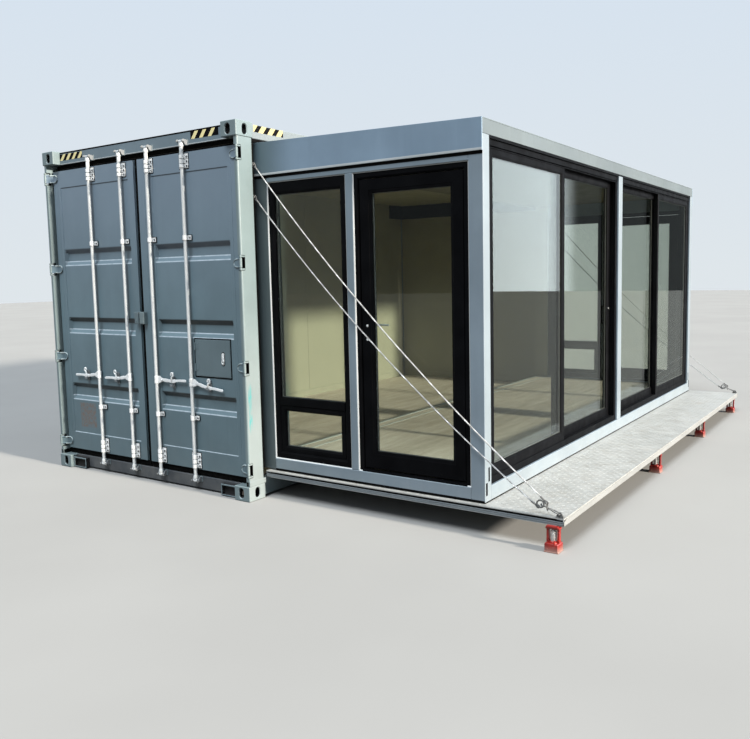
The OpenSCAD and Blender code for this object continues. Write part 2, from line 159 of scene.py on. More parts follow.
# ---------- mesh maker ----------
class Mesh:
    """Gathers closed shapes in millimetres and becomes one object."""

    def __init__(s, copies=None):
        s.bm = bmesh.new()
        s.copies = copies or [I4]

    def add(s, verts, faces, bev=0.0, seg=2, lim=30):
        t = bmesh.new()
        vs = [t.verts.new(v) for v in verts]
        for f in faces:
            t.faces.new([vs[i] for i in f])
        bmesh.ops.recalc_face_normals(t, faces=t.faces)
        if bev > 0:
            es = [e for e in t.edges if len(e.link_faces) == 2 and e.calc_face_angle(0) > math.radians(lim)]
            bmesh.ops.bevel(t, geom=es, offset=bev, offset_type="OFFSET", segments=seg, profile=0.5, affect="EDGES", clamp_overlap=True)
        me = bpy.data.meshes.new("t")
        t.to_mesh(me)
        t.free()
        s.join(me)

    def join(s, me):
        for m in s.copies:
            c = me.copy()
            c.transform(m)
            if m.determinant() < 0:
                c.flip_normals()
            s.bm.from_mesh(c)
            bpy.data.meshes.remove(c)
        bpy.data.meshes.remove(me)

    def box(s, x0, x1, y0, y1, z0, z1, bev=1.5, seg=2):
        v = [(x, y, z) for x in (x0, x1) for y in (y0, y1) for z in (z0, z1)]
        s.add(v, [(0, 1, 3, 2), (4, 6, 7, 5), (0, 4, 5, 1), (2, 3, 7, 6), (0, 2, 6, 4), (1, 5, 7, 3)], bev, seg)

    def prism(s, pts, axis, a, b, bev=0.0, seg=2, lim=30):
        """pts: (x, y) for axis z, (x, z) for axis y, (y, z) for axis x"""
        at = {"z": lambda u, v, w: (u, v, w), "y": lambda u, v, w: (u, w, v), "x": lambda u, v, w: (w, u, v)}[axis]
        n = len(pts)
        v = [at(p[0], p[1], w) for w in (a, b) for p in pts]
        f = [tuple(range(n)), tuple(range(2 * n - 1, n - 1, -1))]
        f += [(i, (i + 1) % n, n + (i + 1) % n, n + i) for i in range(n)]
        s.add(v, f, bev, seg, lim)

    def plate(s, loops, axis, a, b, bev=0.0, seg=2):
        """a flat plate with holes; loops[0] is its outline and the others are holes"""
        at = {"z": lambda u, v, w: (u, v, w), "y": lambda u, v, w: (u, w, v), "x": lambda u, v, w: (w, u, v)}[axis]
        flat = [p for l in loops for p in l]
        n = len(flat)
        v = [at(p[0], p[1], w) for w in (a, b) for p in flat]
        tris = tessellate_polygon([[Vector((p[0], p[1], 0)) for p in l] for l in loops])
        f = [tuple(t) for t in tris] + [tuple(i + n for i in reversed(t)) for t in tris]
        k = 0
        for l in loops:
            m = len(l)
            f += [(k + i, k + (i + 1) % m, n + k + (i + 1) % m, n + k + i) for i in range(m)]
            k += m
        s.add(v, f, bev, seg, 50)

    def loft(s, rings, closed=False, bev=0.0):
        """rings of equally many points; capped at both ends, or joined up if closed"""
        m = len(rings[0])
        v = [p for r in rings for p in r]
        f = []
        k = len(rings)
        for i in range(k if closed else k - 1):
            j = (i + 1) % k
            f += [(i * m + a, i * m + (a + 1) % m, j * m + (a + 1) % m, j * m + a) for a in range(m)]
        if not closed:
            f += [tuple(range(m)), tuple(range(k * m - 1, (k - 1) * m - 1, -1))]
        s.add(v, f, bev, 2, 40)

    def lathe(s, p, d, prof, n=24):
        """prof: (radius, height along d from p); radii over 0"""
        d = Vector(d).normalized()
        u = d.orthogonal().normalized()
        w = d.cross(u)
        p = Vector(p)
        s.loft([[p + d * h + (u * math.cos(2 * math.pi * i / n) + w * math.sin(2 * math.pi * i / n)) * r for i in range(n)] for r, h in prof])

    def cyl(s, p, q, r, n=24, bev=1.0):
        p, q = Vector(p), Vector(q)
        h = (q - p).length
        b = min(bev, r * 0.6, h * 0.4)
        s.lathe(p, q - p, [(r - b, 0), (r - b * 0.3, b * 0.3), (r, b), (r, h - b), (r - b * 0.3, h - b * 0.3), (r - b, h)] if b > 0 else [(r, 0), (r, h)], n)

    def tube(s, pts, r, n=10, closed=False, taper=None):
        pts = [Vector(p) for p in pts]
        k = len(pts)
        rings = []
        u = None
        for i, p in enumerate(pts):
            a = pts[i - 1] if (i > 0 or closed) else p
            b = pts[(i + 1) % k] if (i < k - 1 or closed) else p
            d = (b - a).normalized()
            u = d.orthogonal().normalized() if u is None else (u - d * u.dot(d)).normalized()
            w = d.cross(u)
            rr = r if taper is None else r * taper(i / (k - 1))
            rings.append([p + (u * math.cos(2 * math.pi * j / n) + w * math.sin(2 * math.pi * j / n)) * rr for j in range(n)])
        if closed:
            # take the twist that is left at the end out over the whole ring
            d = (pts[0] - pts[-1]).normalized()
            e = rings[0][0] - pts[0]
            g = rings[-1][0] - pts[-1]
            g = g - d * g.dot(d)
            e = e - d * e.dot(d)
            t = math.atan2(d.dot(g.cross(e)), g.dot(e))
            for i in range(k):
                q = Matrix.Rotation(t * i / k, 3, (pts[(i + 1) % k] - pts[i - 1]).normalized())
                rings[i] = [pts[i] + q @ (v - pts[i]) for v in rings[i]]
        s.loft(rings, closed)

    def hex(s, p, d, r, h):
        s.lathe(p, d, [(r, 0), (r, h * 0.75), (r * 0.86, h)], 6)

    def frame_xz(s, x0, x1, z0, z1, w, prof):
        """a mitred frame; w = widths left, right, bottom, top; prof = (share of the width, mm more, y)"""
        rings = []
        for f, d, y in prof:
            a, b, c, e = x0 + f * w[0] + d, x1 - f * w[1] - d, z0 + f * w[2] + d, z1 - f * w[3] - d
            rings.append([(a, y, c), (b, y, c), (b, y, e), (a, y, e)])
        s.loft(rings, True)

    def frame_yz(s, y0, y1, z0, z1, w, prof):
        rings = []
        for f, d, x in prof:
            a, b, c, e = y0 + f * w[0] + d, y1 - f * w[1] - d, z0 + f * w[2] + d, z1 - f * w[3] - d
            rings.append([(x, a, c), (x, b, c), (x, b, e), (x, a, e)])
        s.loft(rings, True)

    def sheet(s, line, t, at, a, b):
        """pressed sheet: line of (u, v), t thick along v, swept from a to b; at(u, v, w) gives the point"""
        n = len(line)
        v = [at(u, q, w) for w in (a, b) for u, q in line] + [at(u, q + t, w) for w in (a, b) for u, q in line]
        f = []
        for i in range(n - 1):
            f += [(i, i + 1, n + i + 1, n + i), (2 * n + i, 3 * n + i, 3 * n + i + 1, 2 * n + i + 1)]
            f += [(i, 2 * n + i, 2 * n + i + 1, i + 1), (n + i, n + i + 1, 3 * n + i + 1, 3 * n + i)]
        f += [(0, n, 3 * n, 2 * n), (n - 1, 3 * n - 1, 4 * n - 1, 2 * n - 1)]
        s.add(v, f)

    def cut(s, tool, op="DIFFERENCE"):
        obs = []
        for k, m in enumerate((s, tool)):
            me = bpy.data.meshes.new("c")
            m.bm.to_mesh(me)
            o = bpy.data.objects.new("c", me)
            scene.collection.objects.link(o)
            obs.append(o)
        b = obs[0].modifiers.new("b", "BOOLEAN")
        b.object, b.operation, b.solver = obs[1], op, "EXACT"
        bpy.context.view_layer.update()
        me = bpy.data.meshes.new_from_object(obs[0].evaluated_get(bpy.context.evaluated_depsgraph_get()))
        s.bm.clear()
        s.bm.from_mesh(me)
        bpy.data.meshes.remove(me)
        for o in obs:
            old = o.data
            bpy.data.objects.remove(o)
            bpy.data.meshes.remove(old)
        tool.bm.free()
        return s

    def spread(s, mats):
        """repeats what is there so far by each matrix"""
        me = bpy.data.meshes.new("s")
        s.bm.to_mesh(me)
        s.bm.clear()
        old, s.copies = s.copies, mats
        s.join(me)
        s.copies = old
        return s

    def done(s, name, body, mat, slot=None, stands=(), smooth=36, bevel=0.0, pick=None):
        me = bpy.data.meshes.new(name)
        if pick:
            for f in s.bm.faces:
                f.material_index = pick(*f.calc_center_median())
        for v in s.bm.verts:
            v.co = P(*v.co)
        s.bm.to_mesh(me)
        s.bm.free()
        for p in me.polygons:
            p.use_smooth = True
        me.set_sharp_from_angle(angle=math.radians(smooth))
        o = bpy.data.objects.new(name, me)
        scene.collection.objects.link(o)
        for q in [mat] if isinstance(mat, str) else mat:
            me.materials.append(MAT[q])
        if bevel:
            b = o.modifiers.new("bevel", "BEVEL")
            b.width, b.segments, b.limit_method, b.angle_limit = bevel / 1000, 2, "ANGLE", math.radians(48)
        w = o.modifiers.new("normals", "WEIGHTED_NORMAL")
        w.keep_sharp = True
        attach(o, body)
        if stands:
            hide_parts(*stands)
        return o


def stadium(cx, cy, l, r, off=0.0, n=8):
    """a slot outline, long along its second axis"""
    pts = []
    for i in range(n + 1):
        a = math.pi * i / n
        pts.append((cx + (r + off) * math.cos(a), cy + (l / 2 - r) + (r + off) * math.sin(a)))
    for i in range(n + 1):
        a = math.pi + math.pi * i / n
        pts.append((cx + (r + off) * math.cos(a), cy - (l / 2 - r) + (r + off) * math.sin(a)))
    return pts


def circle2(cx, cy, r, n=20, a0=0.0):
    return [(cx + r * math.cos(a0 + 2 * math.pi * i / n), cy + r * math.sin(a0 + 2 * math.pi * i / n)) for i in range(n)]


def rounded(pts, q=10, k=3):
    """rounds the inner corners of an open line"""
    out = [pts[0]]
    for a, b, c in zip(pts, pts[1:], pts[2:]):
        a, b, c = Vector(a), Vector(b), Vector(c)
        la, lc = min(q, (a - b).length * 0.45), min(q, (c - b).length * 0.45)
        p, r = b + (a - b).normalized() * la, b + (c - b).normalized() * lc
        out += [tuple(p * (1 - t) ** 2 + b * 2 * t * (1 - t) + r * t * t) for t in [i / k for i in range(k + 1)]]
    return out + [pts[-1]]


def waves(length, n, d):
    p = length / n
    line = []
    for i in range(n):
        line += [(i * p, 0), (i * p + p * 0.26, 0), (i * p + p * 0.5, d), (i * p + p * 0.76, d)]
    return rounded(line + [(length, 0)], 14, 3)


# ---------- materials ----------
class Nodes:
    def __init__(s, name):
        s.m = bpy.data.materials.new(name)
        s.m.use_nodes = True
        s.t = s.m.node_tree
        s.t.nodes.clear()
        s.out = s.t.nodes.new("ShaderNodeOutputMaterial")
        s.co = s.t.nodes.new("ShaderNodeTexCoord").outputs["Object"]
        MAT[name] = s.m

    def put(s, sock, v):
        if isinstance(v, bpy.types.NodeSocket):
            s.t.links.new(v, sock)
        else:
            sock.default_value = v

    def stretch(s, scale, loc=(0, 0, 0), rot=(0, 0, 0)):
        n = s.t.nodes.new("ShaderNodeMapping")
        s.t.links.new(s.co, n.inputs["Vector"])
        n.inputs["Scale"].default_value = scale
        n.inputs["Location"].default_value = loc
        n.inputs["Rotation"].default_value = rot
        return n.outputs[0]

    def noise(s, scale, detail=4, rough=0.55, vec=None, dist=0.0):
        n = s.t.nodes.new("ShaderNodeTexNoise")
        s.t.links.new(vec or s.co, n.inputs["Vector"])
        n.inputs["Scale"].default_value = scale
        n.inputs["Detail"].default_value = detail
        n.inputs["Roughness"].default_value = rough
        n.inputs["Distortion"].default_value = dist
        return n.outputs["Fac"]

    def cells(s, scale, feature="F1", vec=None, rand=1.0):
        n = s.t.nodes.new("ShaderNodeTexVoronoi")
        n.feature = feature
        s.t.links.new(vec or s.co, n.inputs["Vector"])
        n.inputs["Scale"].default_value = scale
        n.inputs["Randomness"].default_value = rand
        return n

    def span(s, v, a, b, c=0.0, d=1.0):
        n = s.t.nodes.new("ShaderNodeMapRange")
        n.interpolation_type = "SMOOTHSTEP"
        s.put(n.inputs["Value"], v)
        for k, q in zip(("From Min", "From Max", "To Min", "To Max"), (a, b, c, d)):
            n.inputs[k].default_value = q
        return n.outputs[0]

    def math(s, op, a, b=0.0, c=0.0):
        n = s.t.nodes.new("ShaderNodeMath")
        n.operation = op
        for i, v in enumerate((a, b, c)):
            s.put(n.inputs[i], v)
        return n.outputs[0]

    def mix(s, f, a, b, mode="MIX"):
        n = s.t.nodes.new("ShaderNodeMix")
        n.data_type = "RGBA"
        n.blend_type = mode
        s.put(n.inputs[0], f)
        for i, v in ((6, a), (7, b)):
            s.put(n.inputs[i], (*v, 1) if isinstance(v, tuple) and len(v) == 3 else v)
        return n.outputs[2]

    def xyz(s):
        n = s.t.nodes.new("ShaderNodeSeparateXYZ")
        s.t.links.new(s.co, n.inputs[0])
        return n.outputs

    def bump(s, h, strength, dist, normal=None):
        n = s.t.nodes.new("ShaderNodeBump")
        s.t.links.new(h, n.inputs["Height"])
        n.inputs["Strength"].default_value = strength
        n.inputs["Distance"].default_value = dist
        if normal:
            s.t.links.new(normal, n.inputs["Normal"])
        return n.outputs[0]

    def shade(s, color, rough, metal=0.0, normal=None, **more):
        n = s.t.nodes.new("ShaderNodeBsdfPrincipled")
        s.put(n.inputs["Base Color"], (*color, 1) if isinstance(color, tuple) and len(color) == 3 else color)
        s.put(n.inputs["Roughness"], rough)
        s.put(n.inputs["Metallic"], metal)
        if normal:
            s.t.links.new(normal, n.inputs["Normal"])
        for k, v in more.items():
            n.inputs[k.replace("_", " ")].default_value = v
        s.t.links.new(n.outputs[0], s.out.inputs[0])
        return n

    def within(s, axis, a, b, soft):
        """1 between a and b along an axis, with soft edges"""
        v = s.xyz()[axis]
        return s.math("MULTIPLY", s.span(v, a - soft, a + soft), s.span(v, b - soft, b + soft, 1, 0))


MAT = {}


def paint(name, col, rough=0.42, dust=0.13, marks_and_light=None, wave=0.6, chalk_and_highlight=0.35, shade=0.5, coat=0.10):
    """coated steel: soft mottling, runs, dust low down, orange peel and slightly wavy sheet"""
    n = Nodes(name)
    dark = tuple(c * 0.90 for c in col)
    light = tuple(min(1, c * 1.08 + 0.003) for c in col)
    c = n.mix(n.span(n.noise(1.7, 5), 0.3, 0.7), dark, light)
    runs = n.span(n.noise(9, 4, 0.6, n.stretch((1, 1, 0.09))), 0.50, 0.78)
    c = n.mix(n.math("MULTIPLY", runs, 0.12), c, tuple(min(1, q * 1.35 + 0.02) for q in col))
    stain = n.span(n.noise(14, 3, 0.6, n.stretch((1, 1, 0.05), (3, 1, 0))), 0.56, 0.8)
    c = n.mix(n.math("MULTIPLY", stain, 0.12), c, tuple(q * 0.55 for q in col))
    low = n.math("MULTIPLY", n.span(n.xyz()[2], 0.0, 0.55, 1, 0), n.span(n.noise(6, 5, 0.7), 0.25, 0.75))
    c = n.mix(n.math("MULTIPLY", low, dust), c, (0.36, 0.34, 0.30))
    specks = n.span(n.noise(160, 2, 0.5), 0.70, 0.80)
    c = n.mix(n.math("MULTIPLY", specks, 0.25), c, (0.45, 0.44, 0.41))
    # painted shade: faces that look downward are darkened almost to black; painted highlight: upward slopes are made
    # paler, partly also chalking by weather and dust
    geo = n.t.nodes.new("ShaderNodeNewGeometry")
    nz = n.t.nodes.new("ShaderNodeSeparateXYZ")
    n.t.links.new(geo.outputs["Normal"], nz.inputs[0])
    c = n.mix(n.math("MULTIPLY", n.span(nz.outputs[2], -0.12, -0.50), shade), c, tuple(q * 0.07 for q in col))
    c = n.mix(n.math("MULTIPLY", n.math("MULTIPLY", n.span(nz.outputs[2], 0.15, 0.60), n.span(nz.outputs[2], 0.97, 0.80)), chalk_and_highlight), c, tuple(min(1, q * 1.5 + 0.05) for q in col))
    if marks_and_light:
        c = marks_and_light(n, c)
    r = n.span(n.noise(3.3, 5, 0.6), 0.25, 0.75, rough - 0.07, rough + 0.12)
    r = n.math("ADD", r, n.math("MULTIPLY", low, 0.25))
    b = n.bump(n.noise(330, 2, 0.5), 0.06, 0.0006)
    b = n.bump(n.noise(2.2, 2, 0.4), wave, 0.004, b)
    n.shade(c, r, 0.0, b, Coat_Weight=coat, Coat_Roughness=0.22, IOR=1.5)


def leaf_marks_and_painted_light(n, c):
    z = n.xyz()[2]
    # painted light: paler towards the top; painted shade: darker towards the bottom
    c = n.mix(n.math("MULTIPLY", n.span(z, 1.3, 2.75), 0.55), c, (0.204, 0.256, 0.326))
    c = n.mix(n.math("MULTIPLY", n.span(z, 1.3, 0.2), 0.22), c, (0.03, 0.05, 0.05))
    # painted highlight: paler lines along the creases of each groove's lower slope and of the sheet's lower step,
    # inside the recessed fields
    outer = n.within(1, -2.99, -2.928, 0.002)
    field = n.math("MULTIPLY", outer, n.math("ADD", n.within(0, -2.284, -1.345, 0.004), n.within(0, -1.046, -0.178, 0.004)))
    crease = None
    for q in (0.643, 0.678, 1.257, 1.292, 1.873, 1.908):
        one = n.within(2, q - 0.004, q + 0.004, 0.0025)
        crease = one if crease is None else n.math("MAXIMUM", crease, one)
    one = n.within(2, 0.333, 0.338, 0.002)
    crease = n.math("MAXIMUM", crease, one)
    # painted shade: a dark line along the sheet's upper step inside the recessed fields
    c = n.mix(n.math("MULTIPLY", n.math("MULTIPLY", n.within(2, 2.5675, 2.5735, 0.002), field), 0.8), c, (0.020, 0.030, 0.035))
    worn = n.math("MULTIPLY", n.math("MULTIPLY", crease, field), n.span(n.noise(21, 4, 0.6), 0.25, 0.6, 0.55, 1.0))
    c = n.mix(worn, c, (0.42, 0.49, 0.54))
    # a patch of rust-brown glue residue low on one leaf
    m = n.math("MULTIPLY", n.within(0, -2.185, -1.960, 0.006), n.within(2, 0.39, 0.618, 0.006))
    m = n.math("MULTIPLY", n.math("MULTIPLY", m, outer), n.span(n.noise(42, 5, 0.75), 0.42, 0.62, 0.12, 0.80))
    return n.mix(m, c, (0.16, 0.10, 0.07))


def post_marks_and_painted_light(n, c):
    # a long teal scuff on the deck-side post
    side = n.span(n.xyz()[0], -0.0170, -0.0160)
    m = n.math("MULTIPLY", n.within(1, -2.998, -2.966, 0.008), n.within(2, 0.56, 0.89, 0.05))
    m = n.math("MULTIPLY", n.math("MULTIPLY", m, side), n.span(n.noise(30, 4, 0.7, n.stretch((1, 1, 0.25))), 0.38, 0.60))
    # painted light: the deck-side face paler towards the bottom
    c = n.mix(n.math("MULTIPLY", n.math("MULTIPLY", n.span(n.xyz()[2], 1.7, 0.5), side), 0.45), c, (0.27, 0.30, 0.305))
    return n.mix(m, c, (0.03, 0.26, 0.27))


def facing_end(n):
    """1 on faces that look at the door end"""
    geo = n.t.nodes.new("ShaderNodeNewGeometry")
    ny = n.t.nodes.new("ShaderNodeSeparateXYZ")
    n.t.links.new(geo.outputs["Normal"], ny.inputs[0])
    return n.span(ny.outputs[1], -0.5, -0.9)


def frame_painted_light_and_shade(n, c):
    # painted shade: end-facing faces darker towards the container, darkest on the post beside the opening; painted
    # light: faces that look along +X are paler
    x = n.xyz()[0]
    end = facing_end(n)
    c = n.mix(n.math("MULTIPLY", n.math("MULTIPLY", n.span(x, 1.75, 0.0), end), 0.26), c, (0.050, 0.085, 0.088))
    geo = n.t.nodes.new("ShaderNodeNewGeometry")
    nx = n.t.nodes.new("ShaderNodeSeparateXYZ")
    n.t.links.new(geo.outputs["Normal"], nx.inputs[0])
    c = n.mix(n.math("MULTIPLY", n.span(nx.outputs[0], 0.5, 0.9), 0.16), c, (0.32, 0.34, 0.34))
    return n.mix(n.math("MULTIPLY", n.math("MULTIPLY", n.span(x, 0.069, 0.063), end), 0.80), c, (0.030, 0.042, 0.042))


def fascia_painted_shade(n, c):
    x = n.xyz()[0]
    # painted shade: the end face darker towards the container
    return n.mix(n.math("MULTIPLY", n.math("MULTIPLY", n.span(x, 0.42, -0.02), facing_end(n)), 0.78), c, (0.045, 0.075, 0.080))


STEEL = (0.104, 0.146, 0.162)
paint("steel_paint", STEEL, 0.42)
paint("leaf_paint", (0.107, 0.163, 0.190), 0.42, marks_and_light=leaf_marks_and_painted_light, shade=0.96, chalk_and_highlight=0.15)
paint("post_paint", (0.140, 0.186, 0.196), 0.45, dust=0.0, marks_and_light=post_marks_and_painted_light, wave=0.25)
paint("rail_paint", (0.150, 0.178, 0.190), 0.5, wave=0.25)
paint("frame_paint", (0.170, 0.216, 0.255), 0.40, dust=0.22, wave=0.2, marks_and_light=frame_painted_light_and_shade)
paint("fascia_paint", (0.178, 0.250, 0.326), 0.38, dust=0.1, wave=0.45, marks_and_light=fascia_painted_shade)
paint("pale_paint", (0.36, 0.385, 0.39), 0.42, dust=0.25, wave=0.2)
paint("side_fascia_paint", (0.098, 0.121, 0.129), 0.44, dust=0.08, wave=0.3)
paint("roof_sheet", (0.27, 0.285, 0.285), 0.55, dust=0.0, wave=0.5, coat=0.0)
paint("channel_paint", (0.108, 0.128, 0.142), 0.5, dust=0.10, wave=0.2)
# painted light: paler paint for the outward face of the deck's side channel
paint("edge_trim_painted_light", (0.25, 0.26, 0.26), 0.5, dust=0.05, wave=0.2)
paint("underframe", (0.022, 0.023, 0.025), 0.62, dust=0.2, wave=0.1)
# painted shade: near-black paint for the inner faces of hollows, slots and recesses
paint("cavity_painted_shade", (0.008, 0.008, 0.009), 0.8, dust=0.02, wave=0.1)
# painted highlight on the header's drip edge and the fascias' lips; also the floor trims' own pale colour
paint("drip_edge", (0.34, 0.37, 0.38), 0.5, dust=0.05, wave=0.1)
paint("forged_grey", (0.085, 0.088, 0.088), 0.55, dust=0.1, wave=0.1)
paint("horn_grey", (0.165, 0.178, 0.188), 0.5, dust=0.1, wave=0.1)
# painted highlight: pale beads round the room's frames, partly sealant
paint("sealant", (0.50, 0.52, 0.52), 0.6, dust=0.1, wave=0.2)
# painted highlight: paler paint for the raised rims of the hinge blades
paint("rim_painted_highlight", (0.30, 0.36, 0.37), 0.5, dust=0.05, wave=0.1, shade=0.9)
paint("marking_yellow", (0.80, 0.69, 0.34), 0.45, dust=0, wave=0.05)
# painted shade: the marking yellow darkened for the stripes on the rail's lit side
paint("rail_yellow", (0.42, 0.36, 0.17), 0.5, dust=0, wave=0.05)
paint("header_paint", (0.138, 0.186, 0.216), 0.42)
# painted shade: the door sill's paint darkened to the look of its shaded front
paint("sill_paint", (0.034, 0.042, 0.051), 0.5, dust=0.2, wave=0.3)
paint("roof_paint", STEEL, 0.66, coat=0.0)


def black_coat():
    n = Nodes("frame_black")
    c = n.mix(n.span(n.noise(5, 5), 0.3, 0.7), (0.0010, 0.0011, 0.0016), (0.0026, 0.0028, 0.0036))
    specks = n.span(n.noise(120, 3, 0.6), 0.66, 0.80)
    c = n.mix(n.math("MULTIPLY", specks, 0.10), c, (0.04, 0.04, 0.036))
    r = n.span(n.noise(9, 4), 0.3, 0.7, 0.50, 0.64)
    n.shade(c, r, 0.0, n.bump(n.noise(900, 1, 0.5), 0.12, 0.0004), IOR=1.5, Specular_IOR_Level=0.06)


def rubber():
    n = Nodes("rubber_black")
    c = n.mix(n.span(n.noise(20, 4), 0.35, 0.75), (0.0015, 0.0015, 0.0015), (0.0045, 0.0043, 0.0040))
    n.shade(c, n.span(n.noise(30, 3), 0.3, 0.7, 0.62, 0.82), 0.0, n.bump(n.noise(500, 2), 0.2, 0.0004), IOR=1.45, Specular_IOR_Level=0.06)


def galvanised(name="galvanised", a=(0.54, 0.57, 0.58), b=(0.59, 0.615, 0.62), metal=0.12):
    n = Nodes(name)
    c = n.mix(n.span(n.noise(26, 4), 0.3, 0.7), a, b)
    dull = n.span(n.noise(52, 5, 0.65), 0.54, 0.76)
    c = n.mix(n.math("MULTIPLY", dull, 0.18), c, tuple(q * 0.76 for q in a))
    rust = n.span(n.noise(30, 5, 0.75), 0.72, 0.80)
    c = n.mix(n.math("MULTIPLY", rust, 0.10), c, (0.40, 0.31, 0.24))
    r = n.span(n.noise(40, 4), 0.3, 0.7, 0.30, 0.46)
    n.shade(c, r, metal, n.bump(n.noise(260, 3), 0.05, 0.0004), IOR=1.6)


def bright_zinc():
    galvanised("bright_zinc", (0.74, 0.755, 0.755), (0.84, 0.85, 0.845), 0.15)


def rope_wire():
    n = Nodes("rope_steel")
    c = n.mix(n.span(n.noise(70, 4), 0.3, 0.7), (0.36, 0.37, 0.375), (0.48, 0.485, 0.48))
    n.shade(c, n.span(n.noise(60, 3), 0.3, 0.7, 0.34, 0.50), 0.35, n.bump(n.noise(1800, 1), 0.2, 0.0003), IOR=1.6)


def tread():
    """worn pale deck sheet; its raised bars are brighter on top"""
    n = Nodes("deck_steel")
    bar = n.span(n.xyz()[2], 0.2172, 0.2180)
    c = n.mix(n.span(n.noise(2.4, 6, 0.65), 0.3, 0.7), (0.300, 0.308, 0.298), (0.366, 0.373, 0.362))
    dirt = n.span(n.noise(11, 6, 0.7), 0.46, 0.66)
    c = n.mix(n.math("MULTIPLY", dirt, 0.44), c, (0.262, 0.252, 0.228))
    c = n.mix(n.math("MULTIPLY", bar, 0.35), c, (0.52, 0.53, 0.52))
    grit = n.span(n.noise(240, 3, 0.6), 0.62, 0.74)
    c = n.mix(n.math("MULTIPLY", grit, 0.22), c, (0.20, 0.19, 0.17))
    brown = n.span(n.noise(1.3, 6, 0.7, n.stretch((1, 1, 1), (5, 2, 0))), 0.60, 0.74)
    c = n.mix(n.math("MULTIPLY", brown, 0.40), c, (0.27, 0.212, 0.158))
    r = n.span(n.noise(8, 4), 0.3, 0.7, 0.42, 0.62)
    n.shade(c, r, 0.10, n.bump(n.noise(120, 3), 0.10, 0.0008), IOR=1.5)


def red_coat():
    n = Nodes("red_paint")
    c = n.mix(n.span(n.noise(22, 4), 0.3, 0.7), (0.21, 0.012, 0.010), (0.31, 0.022, 0.015))
    w = n.span(n.noise(60, 5, 0.7), 0.62, 0.72)
    c = n.mix(n.math("MULTIPLY", w, 0.7), c, (0.30, 0.22, 0.18))
    low = n.span(n.xyz()[2], 0.0, 0.05, 0.55, 0)
    c = n.mix(low, c, (0.34, 0.30, 0.25))
    n.shade(c, n.span(n.noise(30, 3), 0.3, 0.7, 0.28, 0.45), 0.0, n.bump(n.noise(200, 3), 0.15, 0.0006), Coat_Weight=0.2, Coat_Roughness=0.15)


def bright_steel():
    n = Nodes("screw_steel")
    c = n.mix(n.span(n.noise(60, 4), 0.3, 0.7), (0.55, 0.55, 0.54), (0.75, 0.74, 0.72))
    n.shade(c, n.span(n.noise(80, 3), 0.3, 0.7, 0.25, 0.5), 0.8, n.bump(n.noise(300, 3), 0.1, 0.0004))


def lining(name="lining", k=1.0):
    """olive-grey boards, painted light making them paler low down; k darkens them as painted shade"""
    n = Nodes(name)
    c = n.mix(n.span(n.noise(1.1, 5), 0.3, 0.7), (0.215, 0.200, 0.120), (0.262, 0.246, 0.152))
    smear = n.span(n.noise(3.4, 6, 0.7, n.stretch((1, 1, 0.4))), 0.56, 0.78)
    c = n.mix(n.math("MULTIPLY", smear, 0.22), c, (0.16, 0.145, 0.09))
    # painted light: paler towards the bottom
    c = n.mix(n.math("MULTIPLY", n.span(n.xyz()[2], 2.05, 1.25), 0.62), c, (0.305, 0.305, 0.262))
    if k < 1:
        c = n.mix(1 - k, c, (0.01, 0.011, 0.009))
    n.shade(c, n.span(n.noise(6, 3), 0.3, 0.7, 0.55, 0.72), 0.0, n.bump(n.noise(240, 2), 0.08, 0.0005))


def ceiling_board():
    # painted shade: the lining boards darkened by half
    lining("ceiling_board", 0.50)


def floor_sheet():
    n = Nodes("floor_sheet")
    grain = n.noise(16, 6, 0.6, n.stretch((1, 0.12, 1)))
    c = n.mix(n.span(grain, 0.3, 0.7), (0.53, 0.462, 0.40), (0.68, 0.605, 0.54))
    dust = n.span(n.noise(3.2, 6, 0.7), 0.42, 0.75)
    c = n.mix(n.math("MULTIPLY", dust, 0.45), c, (0.53, 0.475, 0.425))
    worn = n.span(n.noise(1.1, 5, 0.65, n.stretch((1.6, 0.5, 1))), 0.50, 0.66)
    c = n.mix(n.math("MULTIPLY", worn, 0.38), c, (0.33, 0.285, 0.23))
    n.shade(c, n.span(n.noise(7, 4), 0.3, 0.7, 0.52, 0.75), 0.0, n.bump(n.noise(90, 4), 0.12, 0.0006))


def glass():
    n = Nodes("clear_glass")
    fr = n.t.nodes.new("ShaderNodeFresnel")
    fr.inputs["IOR"].default_value = 1.52
    geo = n.t.nodes.new("ShaderNodeNewGeometry")
    front = n.math("SUBTRACT", 1.0, geo.outputs["Backfacing"])
    fac = n.math("MINIMUM", n.math("MULTIPLY", n.math("MULTIPLY", fr.outputs[0], 1.0), front), 1.0)
    tr = n.t.nodes.new("ShaderNodeBsdfTransparent")
    haze = n.span(n.noise(5, 5, 0.6), 0.3, 0.8, 1.0, 0.955)
    tint = n.mix(haze, (0.845, 0.870, 0.833), (0.928, 0.940, 0.920))
    direct = n.t.nodes.new("ShaderNodeLightPath").outputs["Is Shadow Ray"]
    tint = n.mix(direct, tint, (0.88, 0.90, 0.88))
    n.t.links.new(tint, tr.inputs[0])
    gl = n.t.nodes.new("ShaderNodeBsdfGlossy")
    gl.inputs["Color"].default_value = (0.94, 0.98, 0.97, 1)
    gl.inputs["Roughness"].default_value = 0.015
    n.t.links.new(n.bump(n.noise(1.4, 2, 0.4), 0.10, 0.004), gl.inputs["Normal"])
    mx = n.t.nodes.new("ShaderNodeMixShader")
    n.t.links.new(fac, mx.inputs[0])
    n.t.links.new(tr.outputs[0], mx.inputs[1])
    n.t.links.new(gl.outputs[0], mx.inputs[2])
    n.t.links.new(mx.outputs[0], n.out.inputs[0])


